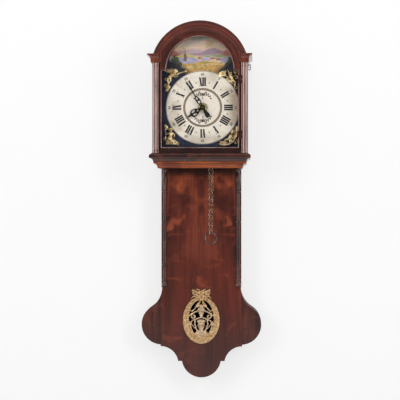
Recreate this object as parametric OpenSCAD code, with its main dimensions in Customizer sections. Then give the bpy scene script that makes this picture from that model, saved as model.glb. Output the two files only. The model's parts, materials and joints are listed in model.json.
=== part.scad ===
// Wall clock with a hood, a trunk and a shaped tail, after the Frisian tail clock.
// X runs to the right, Y runs into the wall, Z runs up, and the origin is the centre of the hanging hole
// at the wall face of the backboard. Drops are measured down from the hole, depths out from the wall.

/* [Boards] */
// Thickness of the backboard and of the trunk boards
board_t = 12; // [8:1:16]
// Radius of the hanging hole
hole_r = 4; // [2.5:0.5:6]
// Step in of the trunk's sides from the hood's sides
trunk_inset = 23; // [20:0.5:28]
// Depth of the trunk from the wall to the front board's face
trunk_depth = 72; // [66:1:84]
// Drop of the lower end of the straight trunk
trunk_drop = 817; // [760:1:880]
// Thickness of the rim round the inside of the tail
rim_t = 8; // [5:1:12]
// Inset of the rim from the tail's outline
rim_inset = 4; // [2:1:8]

/* [Tail outline] */
// Radius of the round ears
ear_r = 68; // [60:1:74]
// Set-in of the ears' centres from the trunk's sides
ear_inset = 1; // [0:0.5:5]
// Drop of the ears' centres below the trunk's end
ear_drop = 125; // [115:1:140]
// Drop of the ears' lower edge below their centres
ear_end_drop = 73.5; // [70:0.5:80]
// Width of the small lip between an ear and the hollow below it
ear_lip = 4; // [2:0.5:6]
// Radius of the hollows below the ears
hollow_r = 60; // [50:1:62]
// Height of the hollows that the outline uses
hollow_h = 49.5; // [40:0.5:50]
// Radius of the round bottom
foot_r = 66; // [60:1:74]
// Drop of the bottom's centre below the trunk's end
foot_drop = 237; // [230:1:244]

/* [Half columns on the trunk] */
// Largest radius of the half columns
half_col_r = 10; // [7:0.5:12]
// Gap between the cornice and their upper ends
half_col_gap = 0.5; // [0.3:0.1:3]
// Drop of their lower ends
half_col_end = 813; // [790:1:816]

/* [Oval ornament] */
// Half width of the brass oval
oval_a = 62; // [50:1:70]
// Half height of the brass oval
oval_b = 79.5; // [70:0.5:90]
// Width of its frame
oval_frame_w = 21; // [14:1:24]
// Drop of its centre
oval_drop = 927.5; // [915:0.5:940]
// Thickness of the casting
oval_t = 3; // [2:0.5:5]
// Radius of the pins that hold it
oval_pin_r = 1.2; // [0.8:0.1:2]

/* [Hood] */
// Width of the hood between its outer faces
hood_w = 314; // [300:1:330]
// Thickness of the hood's boards
hood_t = 10; // [7:1:12]
// Drop of the centre of the hood's arch
arch_drop = 100; // [90:1:115]
// Drop of the hood boards' lower edge
hood_bottom = 371; // [360:1:390]
// Depth of the front frame's face from the wall
frame_face = 185; // [180:1:200]
// Thickness of the front frame
frame_t = 12; // [8:1:14]
// Width of the front frame's stiles
frame_stile = 30.5; // [26:0.5:34]
// Clear travel of the hood over the backboard on each side
hood_gap = 0.5; // [0.3:0.1:1]
// Gap between the wall and the hood's rear edge
hood_rear = 2; // [1:0.5:4]

/* [Mouldings and columns] */
// Radius of the hood's columns
col_r = 12; // [10:0.5:13]
// Drop of the columns' upper ends
col_top = 75; // [70:1:85]
// Height of the entablature blocks
cap_h = 28; // [22:1:34]
// Overhang of the blocks' upper ledge
cap_over = 14; // [8:1:18]
// Outer radius of the arch moulding
arch_r = 161; // [158:1:166]
// Projection of the arch moulding in front of the door
arch_over = 13; // [8:1:15]
// Height of the moulding at the hood's foot
base_h = 27.2; // [22:0.2:32]
// Largest overhang of that moulding
base_over = 9; // [6:1:12]
// Height of the moulding on the trunk
cornice_h = 21; // [18:0.5:24]
// Gap between the hood's foot and the trunk's moulding
rest_gap = 0.3; // [0.1:0.1:0.6]

/* [Door] */
// Gap between the door and what stands round it
door_gap = 0.8; // [0.5:0.1:1.5]
// Thickness of the door
door_t = 17; // [14:1:20]
// Gap between the door and the front frame
door_rear_gap = 1; // [0.5:0.5:2]
// Width of the door's stiles
door_stile = 7; // [6:0.5:9]
// Width of the door's arch
door_arch_w = 21.5; // [18:0.5:24]
// Height of the door's lower rail
door_rail = 19; // [14:1:24]
// Thickness of the glass
glass_t = 2; // [1.5:0.5:3]
// Width of the glass that the rebate holds
glass_hold = 3; // [2:0.5:4]
// Radius of the hinge knuckles
knuckle_r = 2.6; // [2.2:0.1:3]
// Radius of the hinge pins
hinge_pin_r = 1.2; // [0.9:0.1:1.5]
// Height of each hinge
hinge_h = 24; // [18:1:30]

/* [Dial] */
// Distance of the dial's centre to the right of the middle
dial_x = 8; // [4:0.5:10]
// Drop of the dial's centre
dial_drop = 220; // [215:1:225]
// Gap between the dial plate and the hood's right side
plate_gap = 3; // [2:0.5:8]
// Radius of the dial plate's arch
plate_arch_r = 122; // [118:1:130]
// Drop of the dial plate's lower edge
plate_drop = 356; // [350:1:360]
// Depth of the dial plate's rear face
plate_depth = 164.5; // [162.5:0.5:166]
// Thickness of the dial plate
plate_t = 1.5; // [1:0.5:2]
// Radius of the cream disc
disc_r = 121; // [112:1:124]
// Thickness of the cream disc
disc_t = 1.2; // [0.8:0.1:2]
// Thickness of the corner castings
spandrel_t = 3; // [2:0.5:4]
// Length of the minute hand from its centre
minute_len = 110.8; // [95:0.1:114]
// Length of the hour hand from its centre
hour_len = 62.6; // [50:0.1:68]
// Thickness of the hands
hand_t = 1.3; // [0.8:0.1:2]
// Angle of the minute hand, clockwise from twelve
minute_angle = 327.2; // [0:0.1:360]
// Angle of the hour hand, clockwise from twelve
hour_angle = 237; // [0:0.1:360]

/* [Movement frame] */
// Thickness of the seat board
seat_t = 16; // [12:1:20]
// Drop of the seat board's underside
seat_drop = 340; // [338:1:342]
// Half width of the iron plates
iron_half_w = 60; // [56:1:66]
// Thickness of the iron plates and bars
iron_t = 4; // [3:0.5:5]
// Height of the feet under the bottom plate
iron_foot = 8; // [5:1:12]
// Drop of the top plate's underside
top_plate_drop = 94; // [90:1:98]
// Half width of the pivot bars
bar_half_w = 12; // [9:1:13]
// Depth of the rear bar's rear face
rear_bar_depth = 78; // [76:1:80]
// Depth of the centre bar's rear face
centre_bar_depth = 114; // [112:1:116]
// Depth of the front bar's rear face
front_bar_depth = 148; // [148:0.5:149]
// Radius of the arbors
arbor_r = 1.8; // [1.6:0.1:1.8]
// Radius of the pivots
pivot_r = 1.3; // [1:0.1:1.4]
// Radial play of a pivot in its hole
pivot_gap = 0.05; // [0.03:0.01:0.08]
// Length of a pivot
pivot_len = 1.8; // [1.2:0.1:1.9]

/* [Wheels] */
// Tooth module of the great and centre wheels
great_mod = 1.1; // [1.0:0.02:1.12]
// Teeth of the going great wheel
great_n = 72; // [66:6:72]
// Teeth of the centre pinion
centre_pinion_n = 12; // [12:1:12]
// Teeth of the centre wheel
centre_n = 66; // [60:1:66]
// Leaves of the third and escape pinions
leaf_n = 8; // [8:1:8]
// Teeth of the third wheel
third_n = 64; // [60:1:64]
// Tooth module of the third and hoop wheels
third_mod = 1; // [0.96:0.02:1]
// Teeth of the escape wheel
escape_n = 30; // [30:1:30]
// Radius of the escape wheel
escape_r = 22.5; // [20:0.5:23]
// Tooth module of the wheels behind the dial
motion_mod = 0.6; // [0.56:0.02:0.62]
// Teeth of the strike great wheel
strike_n = 78; // [78:13:78]
// Leaves of the strike pinions
strike_leaf_n = 6; // [6:1:6]
// Teeth of the hoop wheel
hoop_n = 60; // [60:1:60]
// Teeth of the warning wheel
warn_n = 48; // [48:1:48]
// Tooth module of the warning wheel
warn_mod = 0.9; // [0.86:0.02:0.92]
// Teeth of the count wheel
count_n = 48; // [48:1:48]
// Thickness of the wheels
wheel_t = 2; // [1.4:0.2:2.2]

/* [Chains] */
// Pitch of the chain
link_pitch = 8; // [7:0.5:9]
// Radius of the links' wire
link_wire_r = 0.85; // [0.7:0.05:0.9]
// Links round the going sprocket
going_links = 16; // [16:1:16]
// Links round the strike sprocket
strike_links = 24; // [24:1:24]
// Drop of the ring's centre
ring_drop = 650.7; // [600:0.1:700]
// Outer radius of the ring
ring_r = 20.5; // [16:0.5:24]
// Radius of the ring's wire
ring_wire_r = 2.5; // [2:0.1:3]

/* [Bell and pendulum] */
// Radius of the hammer's arm
hammer_arm_r = 1.5; // [1.2:0.1:2]
// Radius of the hammer's head
hammer_head_r = 4.2; // [3.5:0.1:5]
// Length of the hammer's head
hammer_head_len = 11; // [8:0.5:12]
// Length of the hammer's tail
hammer_tail = 30; // [26:1:34]
// Length of the crutch
crutch_len = 60; // [50:1:70]
// Radius of the circle on which the lifting pins stand
lift_ring = 38; // [36:0.5:38.5]
// Length of the lifting pins
lift_pin = 3.2; // [2.4:0.1:3.4]
// Radius of the bell's mouth
bell_r = 45; // [38:1:50]
// Height of the bell
bell_h = 30; // [24:1:34]
// Depth of the plane in which the pendulum swings
swing_depth = 36; // [32:1:40]
// Drop of the axis on which the pendulum swings
swing_drop = 106; // [104:0.5:108]
// Length of the pendulum from its axis to the bob's centre
swing_len = 821; // [800:1:840]
// Radius of the bob
bob_r = 36; // [30:1:42]
// Thickness of the bob
bob_t = 14; // [10:1:18]
// Radius of the pendulum's rod
rod_r = 1.6; // [1.2:0.1:2]

/* [Hidden] */
$fn = 72;
eps = 0.01;

// Case
hood_half = hood_w / 2;
hood_in = hood_half - hood_t;
trunk_half = hood_half - trunk_inset;
trunk_w = 2 * trunk_half;
ear_x = trunk_half - ear_inset;
plate_half_w = hood_in - dial_x - plate_gap;
ear_neck_gap = ear_x - trunk_half + 2;
neck_r = (ear_neck_gap * ear_neck_gap + ear_drop * ear_drop - ear_r * ear_r) / (2 * (ear_r + ear_neck_gap));
neck_x = trunk_half - 2 + neck_r;
board_gap = 0.3;
front_rear = trunk_depth - board_t;
base_bottom = hood_bottom + base_h;
cornice_top = base_bottom + rest_gap;
cornice_end = cornice_top + cornice_h;
half_col_top = cornice_end + half_col_gap;
frame_rear = frame_face - frame_t;
cheek_depth = frame_rear - 1;
frame_open = hood_half - frame_stile;
frame_arch_r = frame_open - 13.5;

// Lean of the right chain strands over the plates, towards the ring
strand_lean = 0.6;
strand_lean_back = 2;

// Door
door_rear = frame_face + door_rear_gap;
door_face = door_rear + door_t;
col_depth = frame_face + rest_gap + col_r;
col_x = hood_half - col_r;
door_half = col_x - col_r - 2 * door_gap;
door_open = door_half - door_stile;
door_arch_open = door_half - door_arch_w;
door_end = hood_bottom - door_gap;
door_open_end = door_end - door_rail;
glass_front = door_rear + 4;
hinge_x = door_half + door_gap;
hinge_depth = door_face + 1.5;
hinge_drops = [130, 310];
hood_face = col_depth + col_r - 0.3;
block_face = hood_face - 1;
shaft_r = col_r - 1.2;

// Dial
disc_rear = plate_depth + plate_t;
disc_face = disc_rear + disc_t;
collet_depth = disc_face + 3;
hour_hand_depth = collet_depth + 2.6;
minute_hand_depth = hour_hand_depth + 5;

// Wheel train, all on arbors above each other
great_drop = dial_drop + (great_n + centre_pinion_n) * great_mod / 2;
third_drop = dial_drop - (centre_n + leaf_n) * great_mod / 2;
escape_drop = third_drop - (third_n + leaf_n) * third_mod / 2;
hoop_drop = great_drop - (strike_n + strike_leaf_n) * great_mod / 2;
warn_drop = hoop_drop - (hoop_n + strike_leaf_n) * third_mod / 2;
fly_drop = warn_drop - (warn_n + strike_leaf_n) * warn_mod / 2;
minute_n = 60;
cannon_n = 20;
minute_pinion_n = 16;
hour_n = 64;
motion_dist = (minute_n + cannon_n) * motion_mod / 2;
count_pinion_n = 8;
count_drop = great_drop - (count_n + count_pinion_n) / 2;
bottom_plate_drop = seat_drop - seat_t - iron_foot;
plate_rear = 64;
plate_front = 162;
pillar_x = iron_half_w - 6;
pillar_w = 12;
pillar_depths = [plate_rear + 7, plate_front - 7];
stud_r = 1.8;
centre_front_r = 1.8;
cannon_pipe_r = 3;
hour_pipe_r = 4.5;
pipe_hole_r = 5.2;
hammer_x = -22;
hammer_drop = 200;
lever_x = 38;
lever_drop = 205;

// Depths of the wheels, from the wall
rear_top = rear_bar_depth + iron_t;
centre_top = centre_bar_depth + iron_t;
front_top = front_bar_depth + iron_t;
great_depth = centre_top + 7;
centre_depth = centre_top + 13;
third_depth = centre_top + 20;
escape_depth = centre_top + 10;
strike_depth = rear_top + 5;
hoop_depth = centre_bar_depth - 7;
warn_depth = rear_top + 14;
going_sprocket_depth = centre_top + 22;
strike_sprocket_depth = rear_top + 18;

count_depth = rear_bar_depth - 5;
cannon_depth = front_top + 2.5;
hour_depth = cannon_depth + 6;
crutch_depth = swing_depth + 18;

// Chains
link_end_r = 2.6;
link_half_w = link_end_r + link_wire_r;
link_play = 0.6;
link_straight = link_pitch + 2 * link_wire_r + link_play - 2 * link_end_r;
going_r = going_links * link_pitch / (2 * PI);
strike_r = strike_links * link_pitch / (2 * PI);
ring_mid_r = ring_r - ring_wire_r;
ring_top = ring_drop - ring_mid_r;
right_going = [dial_x + going_r, -going_sprocket_depth, -great_drop];
right_strike = [dial_x + strike_r, -strike_sprocket_depth, -great_drop];
left_going = [dial_x - going_r, -going_sprocket_depth, -great_drop];
left_strike = [dial_x - strike_r, -strike_sprocket_depth, -great_drop];
ring_x = (right_going[0] + right_strike[0]) / 2;
ring_depth = (going_sprocket_depth + strike_sprocket_depth) / 2;
loop_drop = 392;
chain_hole_r = 9;
end_link_r = 4;
end_link_straight = 5;
end_wire_r = 1;
end_link_rise = end_link_straight / 2 + end_link_r - end_wire_r - ring_wire_r - 0.9;
strand_rise = end_link_rise + end_link_straight / 2 + end_link_r - end_wire_r - link_wire_r - 0.15
    + link_straight / 2 + link_end_r - link_pitch / 2;

// Bell
bell_drop = top_plate_drop - iron_t - 10;
bell_x_left = dial_x - bell_r - 0.6;

// Colours
mahogany = [0.28, 0.1, 0.06];
dark_wood = [0.2, 0.07, 0.05];
oak = [0.45, 0.3, 0.17];
gilt = [0.78, 0.6, 0.27];
brass = [0.72, 0.56, 0.25];
iron = [0.2, 0.19, 0.18];
steel = [0.5, 0.5, 0.5];
cream = [0.89, 0.86, 0.76];
navy = [0.08, 0.1, 0.18];
black = [0.05, 0.05, 0.05];

// Lays a shape drawn in the clock's front plane: its x and y are X and Z, and it grows out from the wall
module facing(depth, height) translate([0, -depth, 0]) rotate([90, 0, 0]) linear_extrude(height) children();

// Puts a shape whose axis is local z at a place in the front plane, pointing out from the wall
module on_axis(x, drop, depth) translate([x, -depth, -drop]) rotate([90, 0, 0]) children();

module both_sides() {
    children();
    mirror([1, 0, 0]) children();
}

// Flat shape with straight sides and a half-round head
module arched(half, arch, spring_drop, end_drop) {
    translate([-half, -end_drop]) square([2 * half, end_drop - spring_drop]);
    intersection() {
        translate([0, -spring_drop]) circle(arch, $fn = 144);
        translate([-arch, -spring_drop]) square([2 * arch, arch + 1]);
    }
}

function ellipse_points(a, b, n) = [for (i = [0:n - 1]) [a * cos(i * 360 / n), b * sin(i * 360 / n)]];
function arc_points(c, r, a0, a1, n) = [for (i = [0:n]) c + r * [cos(a0 + (a1 - a0) * i / n), sin(a0
    + (a1 - a0) * i / n)]];

// Right half of the outline of the tail, from the trunk's end down to the foot, drawn inwards by the inset
function tail_points(inset) = let (
    ear = [ear_x, -trunk_drop - ear_drop],
    neck_turn = atan2(-ear_drop, ear_x - neck_x),
    hollow = [ear_x + ear_lip, ear[1] - ear_end_drop - hollow_r],
    hollow_end = hollow_r - hollow_h + inset,
    foot_z = -trunk_drop - foot_drop)
    concat(arc_points([neck_x, -trunk_drop], neck_r + inset, 180, 360 + neck_turn, 12),
        arc_points(ear, ear_r - inset, 178 + neck_turn, -acos(ear_lip / ear_r), 28),
        arc_points(hollow, hollow_r + inset, 90, 180 - asin(hollow_end / (hollow_r + inset)), 16),
        arc_points([0, foot_z], foot_r - inset, asin((hollow[1] + hollow_end - foot_z) / (foot_r
            - inset)), -89, 18));

// Flat shape that is alike on both sides, given the points of its right side
module twin_outline(side) polygon(concat(side, [for (i = [len(side) - 1:-1:0]) [-side[i][0], side[i][1]]]));

module tail_outline(inset) twin_outline(tail_points(inset));

// Trunk and tail in one outline, with the given points above the trunk's end
module case_outline(head) twin_outline(concat(head, [[trunk_half, -trunk_drop]], tail_points(0)));

// Frame with a moulded edge on its front and sides, mitred at the corners and open inside and at the back.
// The profile's points are an overhang and a drop, and the inner opening runs through to the wall.
module moulded_frame(profile, half, face, inner_half, inner_face) {
    top = min([for (p = profile) p[1]]) - 1;
    end = max([for (p = profile) p[1]]) + 1;
    last = len(profile) - 1;
    difference() {
        intersection() {
            translate([0, -hood_rear, 0]) rotate([90, 0, 0]) linear_extrude(face + 60)
                polygon(concat([for (p = profile) [half + p[0], -p[1]]],
                    [for (i = [last:-1:0]) [-half - profile[i][0], -profile[i][1]]]));
            translate([-half - 60, 0, 0]) rotate([90, 0, 90]) linear_extrude(2 * half + 120)
                polygon(concat([for (p = profile) [-face - p[0], -p[1]]],
                    [[0, -profile[last][1]], [0, -profile[0][1]]]));
        }
        translate([-inner_half, -inner_face, -end]) cube([2 * inner_half, inner_face + 1, end - top]);
    }
}

module backboard() color(oak) difference() {
    facing(0, board_t) case_outline(concat(arc_points([0, -arch_drop], hood_in - hood_gap, 90, 0, 30),
        [[hood_in - hood_gap, -hood_bottom], [trunk_half, -hood_bottom]]));
    on_axis(0, 0, -1) cylinder(h = board_t + 2, r = hole_r);
}

module trunk_front() color(mahogany) difference() {
    facing(front_rear, board_t) difference() {
        intersection() {
            case_outline([[trunk_half - board_t - board_gap, -cornice_top],
                [trunk_half - board_t - board_gap, -cornice_end], [trunk_half, -cornice_end]]);
            translate([-trunk_half, -2 * trunk_drop]) square([2 * trunk_half, 2 * trunk_drop]);
        }
        translate([0, -oval_drop]) polygon(ellipse_points(oval_a - oval_frame_w + 2, oval_b
            - oval_frame_w, 48));
    }
    ornament_holes(front_rear - 1, board_t + 2, oval_pin_r);
}

module tail_ears() color(mahogany) facing(front_rear, board_t) both_sides() intersection() {
    tail_outline(0);
    translate([trunk_half, -2 * trunk_drop]) square([trunk_half, 2 * trunk_drop]);
}

// Side board with the wide cheek that carries the seat board and the hood
module trunk_sides() color(mahogany) both_sides() translate([trunk_half - board_t, 0, 0]) rotate([90, 0,
    90])
    linear_extrude(board_t) polygon([[-board_t, -trunk_drop], [-board_t, -seat_drop], [-plate_front - 1,
        -seat_drop],
        [-plate_front - 1, -plate_drop - 2], [-cheek_depth, -plate_drop - 2], [-cheek_depth, -cornice_end],
        [-front_rear, -cornice_end], [-front_rear, -trunk_drop]]);

module tail_rim() color(oak) facing(board_t, front_rear - board_t) difference() {
    tail_outline(rim_inset);
    tail_outline(rim_inset + rim_t);
    translate([-trunk_half + board_t + 0.2, -trunk_drop - 20])
        square([2 * (trunk_half - board_t) - 0.4, 40]);
}

// Radii of the turning down the column, as drops below its upper end and radii
half_col_rings = [78, 180, 325, 374];

module half_columns() color(mahogany) {
    length = half_col_end - half_col_top;
    r = half_col_r;
    profile = concat([[0, 0], [0.85 * r, 0], [0.85 * r, 5], [0.6 * r, 9], [0.95 * r, 30], [0.72 * r, 60]],
        [for (d = half_col_rings, p = [[0.6, -6], [0.95, -4], [0.95, 0], [0.6, 2]]) [p[0] * r, d + p[1]]],
        [[0.65 * r, length - 12], [0.95 * r, length - 8], [0.95 * r, length], [0, length]]);
    both_sides() translate([trunk_half - half_col_r, -trunk_depth, -half_col_top]) intersection() {
        mirror([0, 0, 1]) rotate_extrude() polygon(profile);
        translate([-50, -50, -length - 1]) cube([100, 50, length + 2]);
    }
}

module ornament_holes(depth, h, r) for (a = [0, 90, 180, 270])
    on_axis((oval_a - oval_frame_w * 0.4) * cos(a), oval_drop + (oval_b - oval_frame_w * 0.4) * sin(a),
        depth)
        cylinder(h = h, r = r);

// Openwork of scrolls round a vase, with a ribbon bow above the frame
module ornament_half() {
    in_a = oval_a - oval_frame_w + 2;
    in_b = oval_b - oval_frame_w + 2;
    for (p = [[0.52, 0.3, 9], [0.5, -0.22, 10], [0.3, 0.62, 8], [0.3, -0.6, 8]])
        translate([p[0] * in_a, p[1] * in_b]) difference() {
            circle(p[2] + 2);
            circle(p[2] - 2);
        }
    translate([in_a * 0.66, in_b * 0.3 - 3]) square([in_a * 0.3, 5]);
    translate([in_a * 0.66, -in_b * 0.22 - 3]) square([in_a * 0.32, 5]);
    translate([oval_a * 0.24, oval_b + 6]) rotate(12) difference() {
        polygon(ellipse_points(15, 9, 28));
        polygon(ellipse_points(10, 4.5, 28));
    }
}

module oval_ornament() color(gilt) difference() {
    facing(trunk_depth, oval_t) translate([0, -oval_drop]) {
        difference() {
            polygon(ellipse_points(oval_a, oval_b, 72));
            polygon(ellipse_points(oval_a - oval_frame_w, oval_b - oval_frame_w, 72));
        }
        both_sides() ornament_half();
        polygon([[-4, -oval_b + 16], [4, -oval_b + 16], [5, -26], [13, -8], [9, 16], [4, 24], [6,
            oval_b - 16],
            [-6, oval_b - 16], [-4, 24], [-9, 16], [-13, -8], [-5, -26]]);
        translate([0, oval_b + 3]) circle(6);
    }
    ornament_holes(trunk_depth - 1, oval_t + 2, oval_pin_r);
}

module ornament_pins() color(brass) {
    ornament_holes(trunk_depth - 8, oval_t + 8, oval_pin_r);
    ornament_holes(trunk_depth + oval_t, 1, 2 * oval_pin_r);
}

module seat_board() color(oak) difference() {
    translate([-trunk_half, -plate_front - 1, -seat_drop]) cube([trunk_w, plate_front + 1 - front_rear,
        seat_t]);
    chain_holes(seat_drop + 1, seat_t + 2);
}

// Round holes where the chains pass a board or plate whose underside is at the given drop
module chain_holes(drop, h) {
    for (p = [right_going + [strand_lean, strand_lean_back], right_strike + [strand_lean, 0], left_going,
        left_strike])
        translate([p[0], p[1], -drop]) cylinder(h = h, r = chain_hole_r);
}

module trunk_cornice() color(mahogany) {
    cove_r = cornice_h - 9;
    moulded_frame(concat([[-5, cornice_top]], arc_points([-5, cornice_end - 3.5], cove_r, 270, 180, 6),
        [[-6 - cove_r, cornice_end - 3.5], [-6 - cove_r, cornice_end]]),
        hood_half, hood_face, trunk_half, cheek_depth);
}

module hood_sides() color(mahogany) both_sides() translate([hood_in, -frame_rear, -hood_bottom])
    cube([hood_t, frame_rear - hood_rear, hood_bottom - arch_drop]);

module hood_roof() color(mahogany) on_axis(0, arch_drop, hood_rear) difference() {
    cylinder(h = frame_rear - hood_rear, r = hood_half, $fn = 144);
    translate([0, 0, -1]) cylinder(h = frame_rear, r = hood_in, $fn = 144);
    translate([-hood_w, -hood_w, -1]) cube([2 * hood_w, hood_w, frame_rear + 2]);
}

module hood_frame() color(mahogany) facing(frame_rear, frame_t) difference() {
    arched(hood_half, hood_half, arch_drop, hood_bottom);
    arched(frame_open, frame_arch_r, arch_drop, hood_bottom - 13);
}

module hood_base() color(mahogany) {
    cove_r = base_h - 16.2;
    moulded_frame(concat([[base_over - 7, hood_bottom]],
        arc_points([base_over - 7, hood_bottom + 9], 7, 270, 360, 4), [[base_over, hood_bottom + 14]],
        arc_points([base_over - 2, base_bottom], cove_r, 270, 180, 6)),
        hood_half, hood_face, trunk_half + 0.6, cheek_depth + 5);
}

module arch_moulding() color(mahogany) difference() {
    inner = door_half + door_gap;
    on_axis(0, arch_drop, 0) rotate_extrude(angle = 180, $fn = 144)
        polygon(concat([[inner, frame_face], [inner, door_face], [inner + 6, door_face + 1.5]],
            arc_points([inner + 6, door_face + 10], 8.5, 270, 345, 4),
            arc_points([arch_r - 4, door_face + arch_over - 3], 3, 180, 0, 6),
            [[arch_r, door_face + arch_over - 3], [arch_r, door_face + 2], [hood_half, door_face - 4],
            [hood_half, frame_face]]));
    translate([-hood_w, -2 * door_face, -200 - col_top + cap_h]) cube([2 * hood_w, 2 * door_face, 200]);
}

module capital_blocks() color(mahogany) {
    top = col_top - cap_h;
    difference() {
        moulded_frame(concat([[cap_over, top]], arc_points([cap_over, top + 15], 10, 270, 180, 6),
            [[cap_over - 10.5, top + 15], [cap_over - 10.5, col_top]]),
            hood_half, block_face, frame_open - 2, block_face + 50);
        on_axis(0, arch_drop, -1) cylinder(h = frame_face + 1, r = hood_half, $fn = 144);
        on_axis(0, arch_drop, -1) cylinder(h = block_face + 50, r = door_half + door_gap, $fn = 144);
        translate([-hinge_x - 2, -block_face - 50, -col_top - 1])
            cube([2 * (hinge_x + 2), block_face + 50 - door_face - 0.5, cap_h + 2]);
    }
}

module hood_columns() color(mahogany) {
    length = hood_bottom - col_top;
    r = col_r;
    profile = [[0, 0], [r, 0], [r, 6], [r - 1.6, 8], [r, 11], [shaft_r, 14], [shaft_r, length - 16],
        [r, length - 13], [r - 1.6, length - 10], [r, length - 8], [r, length], [0, length]];
    both_sides() translate([col_x, -col_depth, -hood_bottom]) rotate_extrude() polygon(profile);
}

// Two pins on the right, each with a fixed knuckle above and below the door's own
module hinge_pins() color(brass) for (drop = hinge_drops) difference() {
    translate([hinge_x, -hinge_depth, -drop]) {
        cylinder(h = hinge_h, r = hinge_pin_r, center = true);
        for (s = [-1, 1]) translate([0, 0, s * hinge_h / 3]) {
            cylinder(h = hinge_h / 3, r = knuckle_r, center = true);
            translate([0, -0.8, -hinge_h / 6]) cube([col_x - hinge_x, 1.6, hinge_h / 3]);
        }
    }
    translate([col_x, -col_depth, -drop]) cylinder(h = hinge_h + 2, r = shaft_r, center = true);
}

module hinge_knuckles() color(brass) for (drop = hinge_drops) translate([hinge_x, -hinge_depth, -drop])
    difference() {
        union() {
            cylinder(h = hinge_h / 3 - 0.6, r = knuckle_r, center = true);
            translate([-knuckle_r - door_stile + 2, hinge_depth - door_face - 1, -hinge_h / 2])
                cube([door_stile - 2.4, 1, hinge_h]);
            translate([-knuckle_r - 1, hinge_depth - door_face - 1, -hinge_h / 6 + 0.3])
                cube([knuckle_r + 1, 1, hinge_h / 3 - 0.6]);
        }
        cylinder(h = hinge_h, r = hinge_pin_r + pivot_gap, center = true);
    }

// Screw hook of black iron wire under the right capital
module hood_hook() color(black) translate([hood_half, -frame_face + 8, -col_top - 6]) {
    rotate([0, 90, 0]) cylinder(h = 7.6, r = 1.3);
    translate([7.6, 0, 0]) sphere(1.3);
    translate([7.6, 0, -14]) cylinder(h = 14, r = 1.3);
    translate([4.6, 0, -14]) rotate([90, 0, 0]) rotate_extrude(angle = -180) translate([3, 0]) circle(1.3,
        $fn = 24);
}

module door_outline(inset_side, inset_arch, end) arched(door_half - inset_side, door_half - inset_arch,
    arch_drop, end);

module door_frame() color(dark_wood) difference() {
    facing(door_rear, door_t) difference() {
        door_outline(0, 0, door_end);
        door_outline(door_stile, door_arch_w, door_open_end);
    }
    facing(door_rear - 1, glass_front - door_rear + 1)
        door_outline(door_stile - glass_hold - 0.5, door_arch_w - glass_hold - 0.5, door_open_end
            + glass_hold + 0.5);
    for (drop = hinge_drops) translate([hinge_x, -hinge_depth, -drop])
        cylinder(h = hinge_h + 1, r = knuckle_r + 0.4, center = true);
}

module door_glass() color([0.8, 0.9, 0.9, 0.3]) facing(glass_front - glass_t, glass_t)
    door_outline(door_stile - glass_hold, door_arch_w - glass_hold, door_open_end + glass_hold);

module dial_plate() color(navy) difference() {
    facing(plate_depth, plate_t) translate([dial_x, 0]) {
        translate([-plate_half_w, -plate_drop]) square([2 * plate_half_w, plate_drop - arch_drop]);
        translate([0, -arch_drop]) circle(plate_arch_r, $fn = 144);
    }
    on_axis(dial_x, dial_drop, plate_depth - 1) cylinder(h = plate_t + 2, r = pipe_hole_r);
}

module chapter_disc() color(cream) difference() {
    on_axis(dial_x, dial_drop, disc_rear) cylinder(h = disc_t, r = disc_r, $fn = 144);
    on_axis(dial_x, dial_drop, disc_rear - 1) cylinder(h = disc_t + 2, r = pipe_hole_r);
}

// Cast corner pieces: a figure's body with wings above, and scrolls that follow the disc's edge
module spandrel(flip) {
    corner = [plate_half_w, flip ? plate_drop - dial_drop : dial_drop - arch_drop - 2];
    difference() {
        union() {
            translate(corner - [31, 28]) circle(11);
            translate(corner - [22, 38]) rotate(40) polygon(ellipse_points(15, 9, 24));
            translate(corner - [42, 14]) polygon(ellipse_points(17, 8, 24));
            translate(corner - [13, 52]) polygon(ellipse_points(8, 16, 24));
            translate(corner - [56, 9]) circle(7);
            translate(corner - [9, 70]) circle(7);
            translate(corner - [16, 16]) circle(9);
        }
        circle(disc_r + 1, $fn = 144);
    }
}

module spandrels() color(gilt) facing(disc_rear, spandrel_t) translate([dial_x, -dial_drop]) both_sides() {
    spandrel(false);
    mirror([0, 1]) spandrel(true);
}

module dial_feet() color(brass) for (s = [-1, 1], drop = [top_plate_drop + 24, bottom_plate_drop - 26])
    on_axis(dial_x + s * pillar_x, drop, pillar_depths[1] + pillar_w / 2)
        cylinder(h = plate_depth - pillar_depths[1] - pillar_w / 2, r = 3.5);

// Hand drawn pointing up from its centre, turned to its angle
module hand(angle, depth, hole) difference() {
    facing(depth, hand_t) translate([dial_x, -dial_drop]) rotate(-angle) difference() {
        children(0);
        children(1);
    }
    on_axis(dial_x, dial_drop, depth - 1) cylinder(h = hand_t + 2, r = hole);
}

module minute_hand() color(black) {
    l = minute_len;
    hand(minute_angle, minute_hand_depth, centre_front_r) {
        union() {
            polygon(ellipse_points(6.5, 6.5, 48));
            polygon([[-3, 0], [-5, 14], [-7.5, 22], [-7, 32], [-5, 40], [-2, 46], [-2, 66], [-3, 74],
                [-1.6, 88], [0, l],
                [1.6, 88], [3, 74], [2, 66], [2, 46], [5, 40], [7, 32], [7.5, 22], [5, 14], [3, 0]]);
            polygon([[-3.5, 0], [-3.5, -10], [-5.5, -30], [-4, -38], [4, -38], [5.5, -30], [3.5, -10],
                [3.5, 0]]);
        }
        union() {
            translate([0, 34.5]) polygon(ellipse_points(2.5, 5, 20));
            translate([0, 21]) polygon(ellipse_points(3.6, 5, 20));
            translate([0, 11.5]) circle(1.7, $fn = 24);
        }
    }
    on_axis(dial_x, dial_drop, minute_hand_depth + hand_t) difference() {
        cylinder(h = 3, r1 = 5, r2 = 3.6);
        translate([0, 0, -1]) cylinder(h = 5, r = centre_front_r);
    }
}

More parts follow.
